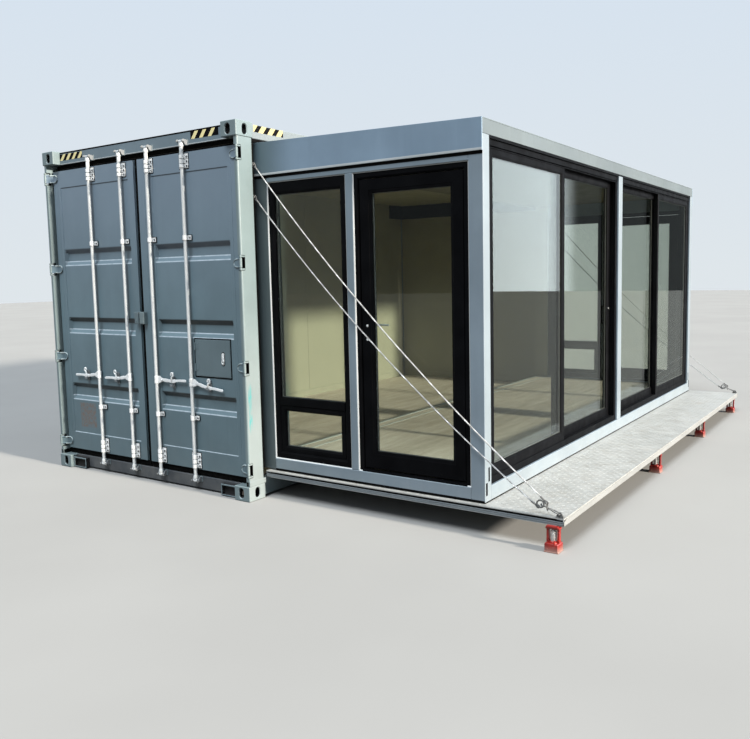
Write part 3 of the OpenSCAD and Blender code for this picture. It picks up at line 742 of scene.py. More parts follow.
def studio_floor():
    """pale; it throws less light back than it shows, as a floor with the light kept off it does"""
    n = Nodes("studio_floor")
    c = n.mix(n.span(n.noise(0.4, 3), 0.3, 0.7), (0.30, 0.30, 0.292), (0.32, 0.32, 0.312))
    path = n.t.nodes.new("ShaderNodeLightPath")
    c = n.mix(n.math("MAXIMUM", path.outputs["Is Diffuse Ray"], path.outputs["Is Glossy Ray"]), c, (0.16, 0.16, 0.155))
    n.shade(c, 0.9, 0.0, None, Specular_IOR_Level=0.1)


for make in (black_coat, rubber, galvanised, bright_zinc, rope_wire, tread, red_coat, bright_steel, lining, ceiling_board, floor_sheet, glass, studio_floor):
    make()

# ---------- floor ----------
me = bpy.data.meshes.new("floor")
me.from_pydata([(-60, -60, 0), (60, -60, 0), (60, 60, 0), (-60, 60, 0)], [], [(0, 1, 2, 3)])
me.materials.append(MAT["studio_floor"])
floor = bpy.data.objects.new("floor", me)
scene.collection.objects.link(floor)

# ---------- container: corner castings ----------
HZ = [244, 1040, 1842, 2658]
HX, HY = -13, 12
MID, LMID = -W / 2 - 12, -W / 2 + 12
BAR_Y, LEAF_Y = 36, 60
OFF = [597, 174]

m = Mesh()
m.box(-162, 0, 0, 178, 0, 118, 7, 3)
t = Mesh()
t.box(-148, -14, 14, 164, 24, 104, 6, 2)
m.cut(t)
t = Mesh()
t.loft([[(x, a, b) for a, b in stadium(92, 62, 79, 24, o)] for x, o in ((6, 9), (-1.5, 4.5), (-6, 0), (-30, 0))])
m.cut(t)
t = Mesh()
t.loft([[(a, y, b) for a, b in stadium(-89, 62, 79, 24, o)] for y, o in ((-6, 9), (1.5, 4.5), (6, 0), (30, 0))])
m.cut(t)
t = Mesh()
t.loft([[(a, b, z) for a, b in stadium(-81, 89, 124, 31.5, o)] for z, o in ((-6, 9), (1.5, 4.5), (6, 0), (40, 0))])
m.cut(t)
m.spread([a @ b @ c for a in (I4, FX) for b in (I4, FY) for c in (I4, FZ)])


# painted shade: faces inside a casting's hollow take the near-black second material
def in_casting(x, y, z):
    x = min(-x, W + x)
    return int(7 < x < 155 and 7 < min(y, L - y) < 171 and 7 < min(z, H - z) < 111)


m.done("corner_castings_shaped", "container", ["post_paint", "cavity_painted_shade"], "steel_paint", ["corner_castings"], 34, pick=in_casting)

# ---------- corner posts ----------
m = Mesh()
m.prism([(-3, 24), (-5.5, 16), (-10, 11.5), (-15, 10), (-37, 10), (-40, 13), (-40, 117), (-67, 117), (-70, 120), (-70, 165), (-67, 168), (-12, 168), (-5.5, 165), (-3, 158)], "z", 118, 2778)
t = Mesh()
for z in HZ:
    t.box(-80, 4, 2, 50, z - 58, z + 58, 7, 3)
m.cut(t)
m.box(-40, 0, 10, 178, 118, 160, 4)
m.box(-12, 0, 176, 190, 118, 160, 4)
m.spread(SIDES)
m.copies = SIDES
m.prism([(a, L - b) for a, b in [(-3, 24), (-5.5, 16), (-10, 11.5), (-15, 10), (-66, 10), (-70, 14), (-70, 165), (-67, 168), (-12, 168), (-5.5, 165), (-3, 158)]], "z", 118, 2778)
m.done("corner_posts_shaped", "container", "post_paint", "steel_paint", ["corner_posts"], 34)

# painted shade: black sheets at the back, top and bottom of each hinge slot
m = Mesh(SIDES)
for z in HZ:
    m.box(-39, -3.4, 47.5, 49.8, z - 57.6, z + 57.6, 0)
    for k in (-57.6, 56.2):
        m.box(-39, -4, 14, 49, z + k, z + k + 1.4, 0)
m.done("hinge_slot_shade_liners", "container", "rubber_black", "rubber_black")

# ---------- header, sill, rails ----------
m = Mesh()
m.box(-2276, -162, 72, 150, 2779, 2886, 5, 3)
# painted shade: the recessed lower part takes the near-black second material
m.box(-2368, -70, 104, 150, 2747, 2780, 2)
m.box(-2276, -162, 150, 180, 2874, 2882, 1)
m.done("door_header_shaped", "container", ["header_paint", "cavity_painted_shade"], "steel_paint", ["door_header"], pick=lambda x, y, z: int(z < 2779.5 and y > 80))
# painted highlight: a pale drip edge along the header's lower edge
m = Mesh()
m.prism([(73, 2779), (70, 2780), (70, 2786), (73, 2788)], "x", -2270, -168, 0)
m.done("header_drip_edge", "container", "drip_edge", "steel_paint")
m = Mesh()
m.prism([(72.6, 2875), (70.8, 2876), (70.8, 2886), (72, 2887.5), (110, 2888.5), (110, 2886), (76, 2885)], "x", -2274, -164, 0)
# painted shade: a black strip in the recess under the header
m.prism([(104, 2749), (98, 2751), (96, 2762), (99, 2776), (104, 2778)], "x", -2364, -74, 0)
m.done("header_seal_and_shade_strips", "container", "rubber_black", "rubber_black")

m = Mesh()
m.box(-2276, -162, 72, 150, 15, 118, 5, 3)
m.box(-2368, -70, 117, 150, 117, 162, 3)
m.done("door_sill_shaped", "container", "sill_paint", "steel_paint", ["door_sill"])

m = Mesh(SIDES)
m.frame_xz(-343, -160, 6, 100, (11, 18, 10, 12), [(0, 0, 73), (0, 0, 33), (0, 3, 30), (1, -2, 30), (1, 0, 32), (1, 0, 68)])
m.box(-333, -176, 62, 68, 14, 90, 0)
# painted shade: the faces deep in the recesses take the near-black second material
m.done("sill_recess_boxes_shaped", "container", ["steel_paint", "cavity_painted_shade"], "steel_paint", ["sill_recess_boxes"], pick=lambda x, y, z: int(y > 36))

m = Mesh()
m.box(-2276, -162, L - 120, L - 12, 2778, 2886, 5, 3)
m.box(-2276, -162, L - 180, L - 120, 2874, 2882, 1)
m.box(-2276, -162, L - 120, L - 12, 15, 118, 5, 3)
m.box(-2368, -70, L - 120, L - 12, 117, 145, 3)
m.done("blank_end_frame_shaped", "container", "steel_paint", "steel_paint", ["blank_end_frame"])

m = Mesh(SIDES)
m.box(-72, -16, 176, L - 176, 2778, 2884, 6, 3)
m.done("top_side_rails_shaped", "container", "rail_paint", "steel_paint", ["top_side_rails"])

# rubber between the container's opening and the room
m = Mesh()
m.prism([(-68, 2778), (-66, 2757), (-60, 2754), (-30, 2754), (-24, 2757), (-22, 2778)], "y", 186, L - 186, 0)
m.done("room_top_seal", "container", "rubber_black", "rubber_black")
m = Mesh(ENDS)
m.prism([(-66, 169), (-30, 169), (-30, 180), (-34, 196), (-32, 209), (-37, 210), (-42, 197), (-48, 197), (-54, 210), (-59, 209), (-57, 196), (-66, 180)], "z", 222, 2752, 0)
m.done("room_side_seals", "container", "rubber_black", "rubber_black")

m = Mesh(SIDES)
m.prism([(-16, 20), (-16, 162), (-72, 162), (-72, 155), (-23, 155), (-23, 27), (-72, 27), (-72, 20)], "y", 176, L - 176, 2)
m.done("bottom_side_rails_shaped", "container", "steel_paint", "steel_paint", ["bottom_side_rails"])

m = Mesh()
m.sheet(waves(5702, 27, 17), 4, lambda u, v, w: (w, 178 + u, 2861 + v), -2366, -72)
m.done("roof_panel_shaped", "container", "roof_paint", "steel_paint", ["roof_panel"], 30)

m = Mesh()
m.sheet(waves(5722, 20, 32), 4, lambda u, v, w: (-2382 - v, 168 + u, w), 160, 2780)
m.done("long_side_wall_shaped", "container", "steel_paint", "steel_paint", ["long_side_wall"], 30)

m = Mesh()
m.sheet(waves(2298, 9, 41), 4, lambda u, v, w: (-2368 + u, 5996 + v, w), 143, 2780)
m.done("blank_end_wall_shaped", "container", "steel_paint", "steel_paint", ["blank_end_wall"], 30)

m = Mesh()
for i in range(12):
    y = 250 + i * 500
    m.prism([(y, 30), (y + 45, 30), (y + 45, 35), (y + 6, 35), (y + 6, 135), (y + 45, 135), (y + 45, 140), (y, 140)], "x", -2364, -74, 1)
m.done("cross_members_shaped", "container", "underframe", "underframe", ["cross_members"])

m = Mesh()
ys = [152 + i * (5936 - 152) / 5 for i in range(6)]
for a, b in zip(ys, ys[1:]):
    m.box(-2366, -72, a + 1, b - 1, 145, 173, 1.5)
m.done("container_floor_boards", "container", "floor_sheet", "floor_sheet", ["container_floor"])

m = Mesh()
ys = [170 + i * (5888 - 170) / 5 for i in range(6)]
for a, b in zip(ys, ys[1:]):
    m.box(-2380, -2367, a + 1.2, b - 1.2, 173, 2766, 1.5)
m.box(-2367, -2357, 172, 5886, 173, 253, 2)
for a, b in ((-2363, -1220), (-1218, -72)):
    m.box(a, b, 5916, 5932, 173, 2766, 1.5)
m.box(-2357, -80, 5906, 5916, 173, 253, 2)
m.done("wall_lining_boards", "container", "lining", "lining", ["wall_linings"])
m = Mesh()
m.box(-2360, -78, 5908, 5917, 2572, 2767, 2)
m.box(-2368, -2358, 5570, 5909, 2572, 2767, 2)
m.done("end_wall_top_band", "container", "frame_black", "lining")

m = Mesh()
ys = [180 + i * (5878 - 180) / 5 for i in range(6)]
for a, b in zip(ys, ys[1:]):
    m.box(-2380, -72, a + 1.2, b - 1.2, 2768, 2778, 1.5)
m.done("ceiling_lining_boards", "container", "lining", "lining", ["ceiling_lining"])


# ---------- hazard stripes ----------
def stripes(name, axis, face, u0, u1, z0, z1, lean, starts, w, ground, bars, copies=None):
    """a painted band with slanted bars over it, just proud of a face; axis y means the face looks along Y"""
    d = Mesh(copies)
    y = Mesh(copies)
    h = z1 - z0

    def quad(mesh, pts, t0, t1):
        if axis == "y":
            mesh.prism(pts, "y", face - t1, face - t0)
        else:
            mesh.prism(pts, "x", face + t0, face + t1)

    quad(d, [(u0, z0), (u1, z0), (u1, z1), (u0, z1)], -1, 0.6)
    for a in starts:
        pts = [(a, z0), (a + w, z0), (a + w + lean * h, z1), (a + lean * h, z1)]
        clipped = clip(clip(pts, u0, 1), u1, -1)
        if len(clipped) >= 3:
            quad(y, clipped, 0.4, 1.0)
    d.done(name + "_band", "container", ground)
    y.done(name + "_bars", "container", bars)


def clip(pts, at, sign):
    out = []
    for k in range(len(pts)):
        p, q = pts[k], pts[(k + 1) % len(pts)]
        a, b = (p[0] - at) * sign, (q[0] - at) * sign
        if a >= 0:
            out.append(p)
        if (a > 0) != (b > 0) and abs(a - b) > 1e-9:
            t = a / (a - b)
            out.append((p[0] + (q[0] - p[0]) * t, p[1] + (q[1] - p[1]) * t))
    return out


stripes("header_stripes_left", "y", 72, -2276, -1948, 2815, 2870, 0.85, [-2270 + 84 * i for i in range(4)], 39, "frame_black", "marking_yellow")
stripes("header_stripes_right", "y", 72, -561, -253, 2818, 2880, 0.75, [-555, -464, -368], 39, "frame_black", "marking_yellow")
stripes("rail_stripes", "x", -16, 204, 541, 2830, 2882, 0.8, [209 + 101 * i for i in range(4)], 47, "rail_yellow", "frame_black", ENDS)

# ---------- fittings of the door end: hinge lugs and keepers ----------
m = Mesh(SIDES)
for z in HZ:
    for k in (-1, 1):
        m.cyl((HX, HY, z + k * 48 - 6), (HX, HY, z + k * 48 + 6), 11, 20, 1.5)
        m.box(HX - 10, HX + 9.5, HY, 50, z + k * 48 - 6, z + k * 48 + 6, 1.5)
        m.lathe((HX, HY, z + k * 54), (0, 0, k), [(7.5, 0), (7.5, 2), (5, 3.6)], 16)
    m.cyl((HX, HY, z - 55), (HX, HY, z + 55), 6.8, 16, 0)
m.copies = [I4]


pads = Mesh()


def keeper(x, z, up):
    s = 1 if up else -1
    zc = z + 23
    for k in (-1, 1):
        # a forged horn: foot, waist and a nose that hooks over the cam
        pts = [(72, zc - s * 23), (72, zc + s * 18), (46, zc + s * 20), (34, zc + s * 23), (24, zc + s * 21), (17, zc + s * 14), (16, zc + s * 5), (20, zc + s * 1), (27, zc + s * 4), (33, zc + s * 2), (36, zc - s * 8), (44, zc - s * 20), (52, zc - s * 23)]
        m.prism(pts, "x", x + k * 34 - 4, x + k * 34 + 4, 1.6)
    pads.box(x - 44, x + 44, 68, 73, zc - 25, zc + 25, 2)
    m.prism([(72, zc + s * 3), (72, zc + s * 13), (63, zc + s * 11), (62, zc + s * 5)], "x", x - 34, x + 34, 1)


for o in OFF:
    for x in (MID + o, -W - (LMID + o)):
        keeper(x, 2776, True)
        keeper(x, 72, False)
m.done("door_end_fittings_shaped", "container", ["horn_grey", "post_paint"], "galvanised", ["door_end_fittings"], pick=lambda x, y, z: int(abs(x + W / 2) > W / 2 - 60))
pads.done("keeper_pads", "container", "steel_paint", "steel_paint")

# ---------- cargo door leaves ----------
GROOVES = [(1871, 2017), (1255, 1400), (641, 795)]


def leaf(m_x, x_in):
    """the deck-side leaf: flat frame, sheet set back a little, three deep grooves across"""
    x0, x1, xo = m_x + 25.5, -64, -164
    y0, y1, z0, z1 = 60, 110, 176, 2723
    line = [(z0, 0), (333, 0), (337, 5)]
    for a, b in sorted(GROOVES):
        line += [(a, 5), (a + 38, 33), (b - 38, 33), (b, 5)]
    line += [(2568, 5), (2572, 0), (z1, 0)]
    line = rounded(line, 9, 3)
    cols = [x0, x_in - 3, x_in + 3, x_in + 16, xo - 16, xo - 3, xo + 3, x1]
    keep = [0, 0, 5, 1e9, 1e9, 5, 0, 0]
    n = len(line)
    v, f = [], []
    for c, k in zip(cols, keep):
        v += [(c, y0 + min(d, k), z) for z, d in line]
    for i in range(len(cols) - 1):
        f += [(i * n + j, (i + 1) * n + j, (i + 1) * n + j + 1, i * n + j + 1) for j in range(n - 1)]
    b = len(v)
    v += [(cols[0], y1, z0), (cols[-1], y1, z0), (cols[-1], y1, z1), (cols[0], y1, z1)]
    k = len(cols)
    f.append((b, b + 3, b + 2, b + 1))
    f.append(tuple([b + 1] + [i * n for i in range(k - 1, -1, -1)] + [b]))
    f.append(tuple([b + 3] + [i * n + n - 1 for i in range(k)] + [b + 2]))
    f.append(tuple([b] + [j for j in range(n)] + [b + 3]))
    f.append(tuple([b + 2] + [(k - 1) * n + j for j in range(n - 1, -1, -1)] + [b + 1]))
    mesh = Mesh()
    mesh.add(v, f)
    # shallow weld lines along the stiles
    tool = Mesh()
    for x in (x0 + 78, x1 - 62):
        tool.box(x - 1.5, x + 1.5, y0 - 5, y0 + 1.6, z0 - 5, z1 + 5, 0)
    mesh.cut(tool)
    return mesh


m = leaf(LMID, LMID + 102)
m.spread([FX])
m.done("left_leaf_pressed", "left_cargo_door", "leaf_paint", "steel_paint", ["left_door_leaf"], 28, 2.5)
m = leaf(MID, MID + 194)
t = Mesh()
t.box(-612, -200, 40, 84, 939, 1255, 0)
m.cut(t)
m.done("right_leaf_pressed", "right_cargo_door", "leaf_paint", "steel_paint", ["right_door_leaf"], 28, 2.5)

m = Mesh()
m.frame_xz(-612, -200, 939, 1255, (8.5, 8.5, 9, 8.5), [(0, 0, 61.5), (1, 0, 61.5), (1, 0, 83), (0, 0, 83)])
m.done("hatch_seal", "right_cargo_door", "rubber_black", "rubber_black")


def gasket(name, body, m_x, node, copies):
    m = Mesh(copies)
    m.frame_xz(m_x + 4, -47, 126, 2741, (21.4, 16.9, 49.9, 17.9), [(1, 0, 101), (0, 2, 101), (0, 0, 98), (0, 5, 92), (0, 0, 87), (0, 1, 80), (0, 4, 77), (0, 9, 76), (1, -2, 80), (1, 0, 86)])
    m.done(name, body, "rubber_black", "rubber_black", [node])


gasket("left_gasket_lips", "left_cargo_door", LMID, "left_door_gasket", [FX])
gasket("right_gasket_lips", "right_cargo_door", MID, "right_door_gasket", [I4])


# ---------- hinge blades, guides and rests ----------
def blade(m, z):
    fr = [(-4, -9), (-30, 15), (-46, 15), (-70, 38)]
    bk = [(6, 8), (-26, 25), (-42, 25), (-66, 47.6)]
    st = [(a, b, 36.0) for a, b in zip(fr, bk)]
    st[0] = (fr[0], bk[0], 35)
    for k in range(1, 9):
        x = -74 - 40 * math.sin(k / 8 * math.pi / 2)
        h = max(2.0, 36 * math.cos(k / 8 * math.pi / 2) ** 0.9)
        st.append(((x, 38), (x, 47.6), h))
    vs = [-1, -0.93, -0.74, -0.66, 0, 0.66, 0.74, 0.93, 1]
    dp = [0.28, 0.0, 0.0, 0.46, 0.5, 0.46, 0.0, 0.0, 0.28]
    rings = []
    for i, (a, b, h) in enumerate(st):
        front = [(HX + a[0] + (b[0] - a[0]) * d * (0.5 if i < 2 else 1), HY + a[1] + (b[1] - a[1]) * d * (0.5 if i < 2 else 1), z + v * h) for v, d in zip(vs, dp)]
        back = [(HX + b[0], HY + b[1], z + v * h) for v in reversed(vs)]
        rings.append(front + back)
    m.loft(rings)


def on_rim(x, y, z):
    """the raised rim round a blade"""
    d = min(abs(z - q) for q in HZ)
    u = HX - max(x, -W - x) if x < -W / 2 else HX - x
    if u < 40 or u > 114:
        return int(u > 112)
    h = 36 if u < 75 else max(2.0, 36 * math.cos(math.asin(min(1, (u - 74) / 40))) ** 0.9)
    return int(0.70 < d / h or u > 108)


def saddle(m, x, z0, h, bolts):
    arc = [(x + 21.5 * math.cos(a), 36 - 21.5 * math.sin(a)) for a in [math.pi - math.pi * i / 10 for i in range(11)]]
    inner = [(x + 16.4 * math.cos(a), 36 - 16.4 * math.sin(a)) for a in [math.pi * i / 10 for i in range(11)]]
    pts = [(x - 52, 60), (x - 52, 54), (x - 25, 54), (x - 21, 50)] + arc + [(x + 21, 50), (x + 25, 54), (x + 50, 54), (x + 50, 60), (x + 17, 60)] + inner + [(x - 17, 60)]
    m.prism(pts, "z", z0, z0 + h, 0.9, 1, 60)
    for z in bolts:
        for k in (-38, 37):
            m.cyl((x + k, 54.2, z), (x + k, 52.6, z), 9, 16, 0.5)
            m.hex((x + k, 52.8, z), (0, -1, 0), 6.4, 6)


def in_bolt(x, y, z):
    if 820 < z < 930:
        return 2
    return int(y < 52.7 and min(abs(min(abs(x - q), abs(-W - x - q)) - 37.5) for q in (MID + 597, MID + 174, LMID + 597, LMID + 174)) < 7.6 and (560 < z < 640 or 2010 < z < 2100 or z < 330 or z > 2590))


def hardware(m, m_x, knuckles, pad):
    for z in HZ:
        knuckles.cyl((HX, HY, z - 36), (HX, HY, z + 36), 10.9, 24, 1.5)
    for o in OFF:
        x = m_x + o
        # painted shade: black pads just larger than the guides stand for the shade round them
        for z in (585, 2038):
            saddle(m, x, z, 36, [z + 18])
            pad.box(x - 57, x + 56, 58.6, 60.8, z - 5, z + 41, 0.8)
        for z, top in ((186, False), (2598, True)):
            h = 126 if not top else 114
            m.box(x - 52, x + 50, 56.5, 60.2, z, z + h, 1.5)
            pad.box(x - 58, x + 56, 58.6, 60.8, z - 6, z + h + 6, 0.8)
            for k in range(3):
                zz = z + 4 + k * (h - 8) / 3
                saddle(m, x, zz, (h - 8) / 3 - 9, [zz + (h - 8) / 6 - 4])
        # rest under the handle
        r = x + 186
        m.box(r - 16, r + 16, 54.5, 60.2, 828, 925, 2)
        m.box(r - 15, r + 15, 26, 56, 846, 852, 1.5)
        m.box(r - 15, r + 15, 24, 29, 846, 864, 1.5)
        for z in (836, 914):
            m.hex((r, 54.6, z), (0, -1, 0), 6.5, 5)


for side, m_x, body, cp in (("left", LMID, "left_cargo_door", [FX]), ("right", MID, "right_cargo_door", [I4])):
    m, k, b, pad = Mesh(cp), Mesh(cp), Mesh(cp), Mesh(cp)
    hardware(m, m_x, k, pad)
    pad.done(side + "_guide_shade_pads", body, "rubber_black", "rubber_black")
    for z in HZ:
        blade(b, z)
    if side == "right":
        k.box(MID + 5, MID + 66, 24, 60, 1357, 1461, 3.5, 3)
        k.box(MID + 9, MID + 60, 21.5, 26, 1364, 1454, 2)
    m.done(side + "_guides_and_rests", body, ["bright_zinc", "forged_grey", "horn_grey"], "galvanised", [side + "_door_hardware"], pick=in_bolt)
    k.done(side + "_hinge_knuckles", body, "post_paint", "steel_paint")
    b.done(side + "_hinge_blades", body, ["leaf_paint", "rim_painted_highlight"], "steel_paint", (), 40, pick=on_rim)

m = Mesh()
m.box(MID - 58, MID - 5, 24, 60, 1357, 1461, 3.5, 3)
m.box(MID - 54, MID - 8, 21.5, 26, 1364, 1454, 2)
m.cyl((MID - 30, 22, 1388), (MID - 30, 18.5, 1388), 9, 20, 1)
m.box(MID - 70, MID - 56, 54, 60.2, 1368, 1450, 1.5)
m.done("lock_box_shaped", "left_cargo_door", "steel_paint", "steel_paint", ["lock_box"])

# inner faces of the leaves: a folded rim, three stiffeners and rivets along them
for side, a, b, cp in (("left", LMID + 62, -126, [FX]), ("right", MID + 62, -126, [I4])):
    m, r = Mesh(cp), Mesh(cp)
    m.frame_xz(a, b, 236, 2664, (44,) * 4, [(0, 0, 109.4), (0, 3, 112.6), (1, -3, 112.6), (1, 0, 109.4)])
    for z0, z1 in GROOVES:
        zc = (z0 + z1) / 2
        m.prism([(109.4, zc - 62), (113.4, zc - 56), (113.4, zc + 56), (109.4, zc + 62)], "x", a + 50, b - 50, 1)
        for k in range(9):
            for q in (-40, 40):
                r.lathe((a + 80 + k * (b - a - 160) / 8, 113.2, zc + q), (0, 1, 0), [(7, 0), (6.5, 1.4), (3.5, 2.6)], 12)
    m.done(side + "_leaf_inner_rim", side + "_cargo_door", "steel_paint", "steel_paint")
    r.done(side + "_leaf_rivets", side + "_cargo_door", "galvanised", "galvanised")

# ---------- access hatch ----------
m = Mesh()
m.box(-603, -209, 60, 76, 948.5, 1246, 3, 3)
m.box(-596, -216, 58.6, 61, 955, 1239, 1.2)
m.done("access_hatch_panel", "access_hatch", "steel_paint", "steel_paint", ["access_hatch"])
m = Mesh()
h = Mesh()
for a in (990, 1160):
    h.cyl((-598, 54, a), (-598, 54, a + 60), 6, 16, 1)
    h.box(-598, -564, 56.5, 59.2, a + 4, a + 56, 0.8)
    for k in (14, 46):
        h.lathe((-576, 56.6, a + k), (0, -1, 0), [(4.2, 0), (4.0, 1.2), (2.2, 2.2)], 12)
h.done("access_hatch_hinges", "access_hatch", "steel_paint", "steel_paint")
# painted shade: a black pad just larger than the latch stands for the shade round it
h = Mesh()
h.plate([stadium(-286, 1097, 112, 19)], "y", 57.6, 59.4, 0.6)
h.done("access_hatch_latch_shade_pad", "access_hatch", "rubber_black", "rubber_black")
m.plate([stadium(-286, 1097, 96, 13), circle2(-286, 1073, 6.5)], "y", 54, 58.8, 1.0)
m.tube([(-286 + 10 * math.cos(a), 51.5, 1073 + 14 * math.sin(a)) for a in [2 * math.pi * i / 16 for i in range(16)]], 3.4, 8, True)
m.cyl((-286, 54.5, 1112), (-286, 49, 1112), 6.5, 16, 1)
m.box(-290, -282, 48.6, 52, 1086, 1140, 1.4)
m.done("access_hatch_latch", "access_hatch", "bright_zinc", "galvanised")


# ---------- lock bars ----------
def lock_bar(name, body, node, x, droop, cp):
    m = Mesh(cp)
    m.cyl((x, BAR_Y, 78), (x, BAR_Y, 2814), 15, 28, 2)
    for z, s in ((76, 1), (2816, -1)):
        # cam: a collar, a tapered body and a hooked nose
        m.lathe((x, BAR_Y, z + s * 26), (0, 0, s), [(19, 0), (20, 2), (20, 20), (17.5, 24), (15.2, 30)], 24)
        m.box(x - 20, x + 20, BAR_Y - 12, BAR_Y + 12, min(z, z + s * 24), max(z, z + s * 24), 3.5, 3)
        m.cyl((x - 19, BAR_Y - 5, z + s * 12), (x + 19, BAR_Y - 5, z + s * 12), 10.5, 16, 2.5)
    # hub with two cheeks
    m.lathe((x, BAR_Y, 862), (0, 0, 1), [(16, 0), (19.5, 3), (19.5, 26), (17.5, 29), (17.5, 37), (19.5, 40), (19.5, 63), (16, 66)], 24)
    c, s_ = math.cos(math.radians(droop)), math.sin(math.radians(droop))

    def q(d, h, y):
        """a point d out along the handle and h above its middle line"""
        return (x + d * c + h * s_, BAR_Y + y, 895 - d * s_ + h * c)

    for k in (-3.5, 9.0):
        lug = [(8, 31), (8, -32), (24, -31), (44, -22), (60, -15), (69, 0), (62, 13), (46, 19), (28, 30)]
        m.loft([[q(a, b, k) for a, b in lug], [q(a, b, k + 4) for a, b in lug]], False, 0.8)
    m.cyl(q(54, 0, -6), q(54, 0, 16), 7, 12, 1)
    m.cyl(q(30, -14, -5), q(30, -14, 14), 5, 12, 1)
    # the handle: a flat bar that dips a little in the middle and narrows to its grip
    st = [(40, 0, 10), (58, 0, 12), (84, -1, 12), (96, -2, 14.5), (122, -5, 14.5), (132, -5, 12), (160, -8, 12), (172, -9, 15), (214, -7, 15), (224, -5, 11), (262, -1, 10), (335, 0, 10.5), (345, 0, 9.5), (352, 0, 6)]
    rings = []
    for d, h, w in st:
        t = 5.2 if d < 351 else 3.4
        rings.append([q(d, h + w, 6 - t * 0.5), q(d, h + w * 0.72, 6 - t), q(d, h - w * 0.72, 6 - t), q(d, h - w, 6 - t * 0.5), q(d, h - w, 6 + t * 0.5), q(d, h - w * 0.72, 6 + t), q(d, h + w * 0.72, 6 + t), q(d, h + w, 6 + t * 0.5)])
    m.loft(rings)
    # the catch on it: a curl with an eye for a seal
    cx, cz = 194, 47
    pts = [q(178, -4, 0)] + [q(184 + 5 * i / 3, 2 + 9 * i, -1.5) for i in range(1, 4)]
    pts += [q(cx + 12.5 * math.cos(a), cz + 16 * math.sin(a), -1.5) for a in [math.radians(t) for t in range(-70, 211, 20)]]
    m.tube(pts, 7.2, 10)
    m.cyl(q(178, -6, -6), q(178, -6, 14), 7, 12, 1)
    m.done(name, body, ["galvanised", "bright_zinc"], "galvanised", [node], pick=lambda a, b, c: int(c < 104 or 780 < c < 985))


for nm, mx, o, dr, cp in (("left_outer_lock_bar", LMID, 597, 3, [FX]), ("left_inner_lock_bar", LMID, 174, 4, [FX]), ("right_inner_lock_bar", MID, 174, -1, [I4]), ("right_outer_lock_bar", MID, 597, 8, [I4])):
    lock_bar(nm + "_forged", nm, nm, mx + o, dr, cp)

# ---------- slide-out room: steel frame ----------
OUT, TOP, FALL, PZ, PY, PW = 1907, 2704, 48, 224, 225, 105
PX = OUT - PW
WY1 = PY + 93
ENDX, M0, M1 = 78, 820, 884
SILL, HEAD, ROOF, FASC, SSILL = 316, 2446, 2604, 2498, 322
B0, B1 = 318, L / 2 - 53
BC = (B0 + B1) / 2

m = Mesh(ENDS)
FOOT = ((PY + 47, PY + 69, 356, 452), (PY + 11, PY + 36, 267, 353))
m.copies = [I4]
m.box(PX, OUT, PY, WY1, PZ, ROOF, 5, 3)
t = Mesh()
for a, b, c, d in FOOT:
    t.box(OUT - 14, OUT + 6, a, b, c, d, 2)
m.cut(t)
m.spread(ENDS)
m.copies = ENDS
m.box(-100, ENDX, PY, WY1, PZ, ROOF, 5, 3)
m.box(M0, M1, PY, WY1, SILL, HEAD, 5, 3)
m.copies = [I4]
m.box(PX, OUT, B1, L - B1, SSILL, ROOF - 14, 5, 3)


# painted shade: faces inside the foot slots take the near-black second material
def in_foot(x, y, z):
    y = min(y, L - y)
    return int(OUT - 16 < x < OUT - 1 and any(a - 1 < y < b + 1 and c - 1 < z < d + 1 for a, b, c, d in FOOT))


m.done("room_posts_shaped", "room", ["frame_paint", "cavity_painted_shade"], "pale_paint", ["room_posts"], pick=in_foot)

m = Mesh(ENDS)
m.box(ENDX, PX, PY, WY1, PZ, SILL, 5, 3)
m.copies = [I4]
m.box(PX, OUT, WY1, L - WY1, PZ, SSILL, 5, 3)
m.done("sill_beams_shaped", "room", "frame_paint", "pale_paint", ["sill_beams"])

m = Mesh(ENDS)
m.box(ENDX, PX, PY, WY1, HEAD, ROOF, 4, 2)
m.done("head_beams_shaped", "room", "frame_paint", "steel_paint", ["head_beams"])

m = Mesh(ENDS)
m.prism([(-100, FASC), (OUT, FASC), (OUT, TOP - 1), (-100, TOP + FALL - 1)], "y", PY - 12, PY, 2)
m.done("end_fascias_shaped", "room", "fascia_paint", "steel_paint", ["end_fascias"])

m = Mesh()
m.box(OUT - 20, OUT, PY, L - PY, ROOF, TOP - 8, 3)
m.box(OUT - 24, OUT, PY, L - PY, TOP - 9, TOP - 1, 2)
m.done("side_fascia_shaped", "room", "side_fascia_paint", "pale_paint", ["side_fascia"])

# roof sheet with low seams, and its solid below
m = Mesh()
m.prism([(-100, ROOF), (OUT - 20, ROOF), (OUT - 20, TOP - 8), (-100, TOP + FALL - 8)], "y", PY, L - PY, 0)
n_seam = 9
for i in range(n_seam):
    y = PY + 60 + i * (L - 2 * PY - 120) / (n_seam - 1)
    m.prism([(-98, TOP + FALL - 9), (OUT - 26, TOP - 9), (OUT - 26, TOP - 2), (-98, TOP + FALL - 2)], "y", y - 6, y + 6, 1.5)
m.done("room_roof_sheet", "room", "roof_sheet", "pale_paint", ["room_roof"])

m = Mesh()
m.box(-100, PX, WY1, L - WY1, PZ, 296, 2)
ys = [WY1 + 2 + i * (L - 2 * WY1 - 4) / 5 for i in range(6)]
for a, b in zip(ys, ys[1:]):
    m.box(-98, PX - 2, a + 1, b - 1, 294, 300, 1)
m.done("room_floor_sheet", "room", "floor_sheet", "floor_sheet", ["room_floor"])

# ceiling of the room and the dark strips behind the black head track
m = Mesh()
ys = [WY1 + i * (L - 2 * WY1) / 5 for i in range(6)]
for a, b in zip(ys, ys[1:]):
    m.box(-96, PX - 12, a + 1.2, b - 1.2, ROOF - 5.5, ROOF + 1, 1)
m.done("room_ceiling_boards", "room", "ceiling_board", "lining")
m = Mesh()
m.box(OUT - 14, OUT - 3, B0, L - B0, ROOF - 18, ROOF - 0.5, 1.5)
m.done("head_shadow_strip", "room", "frame_black", "frame_black")
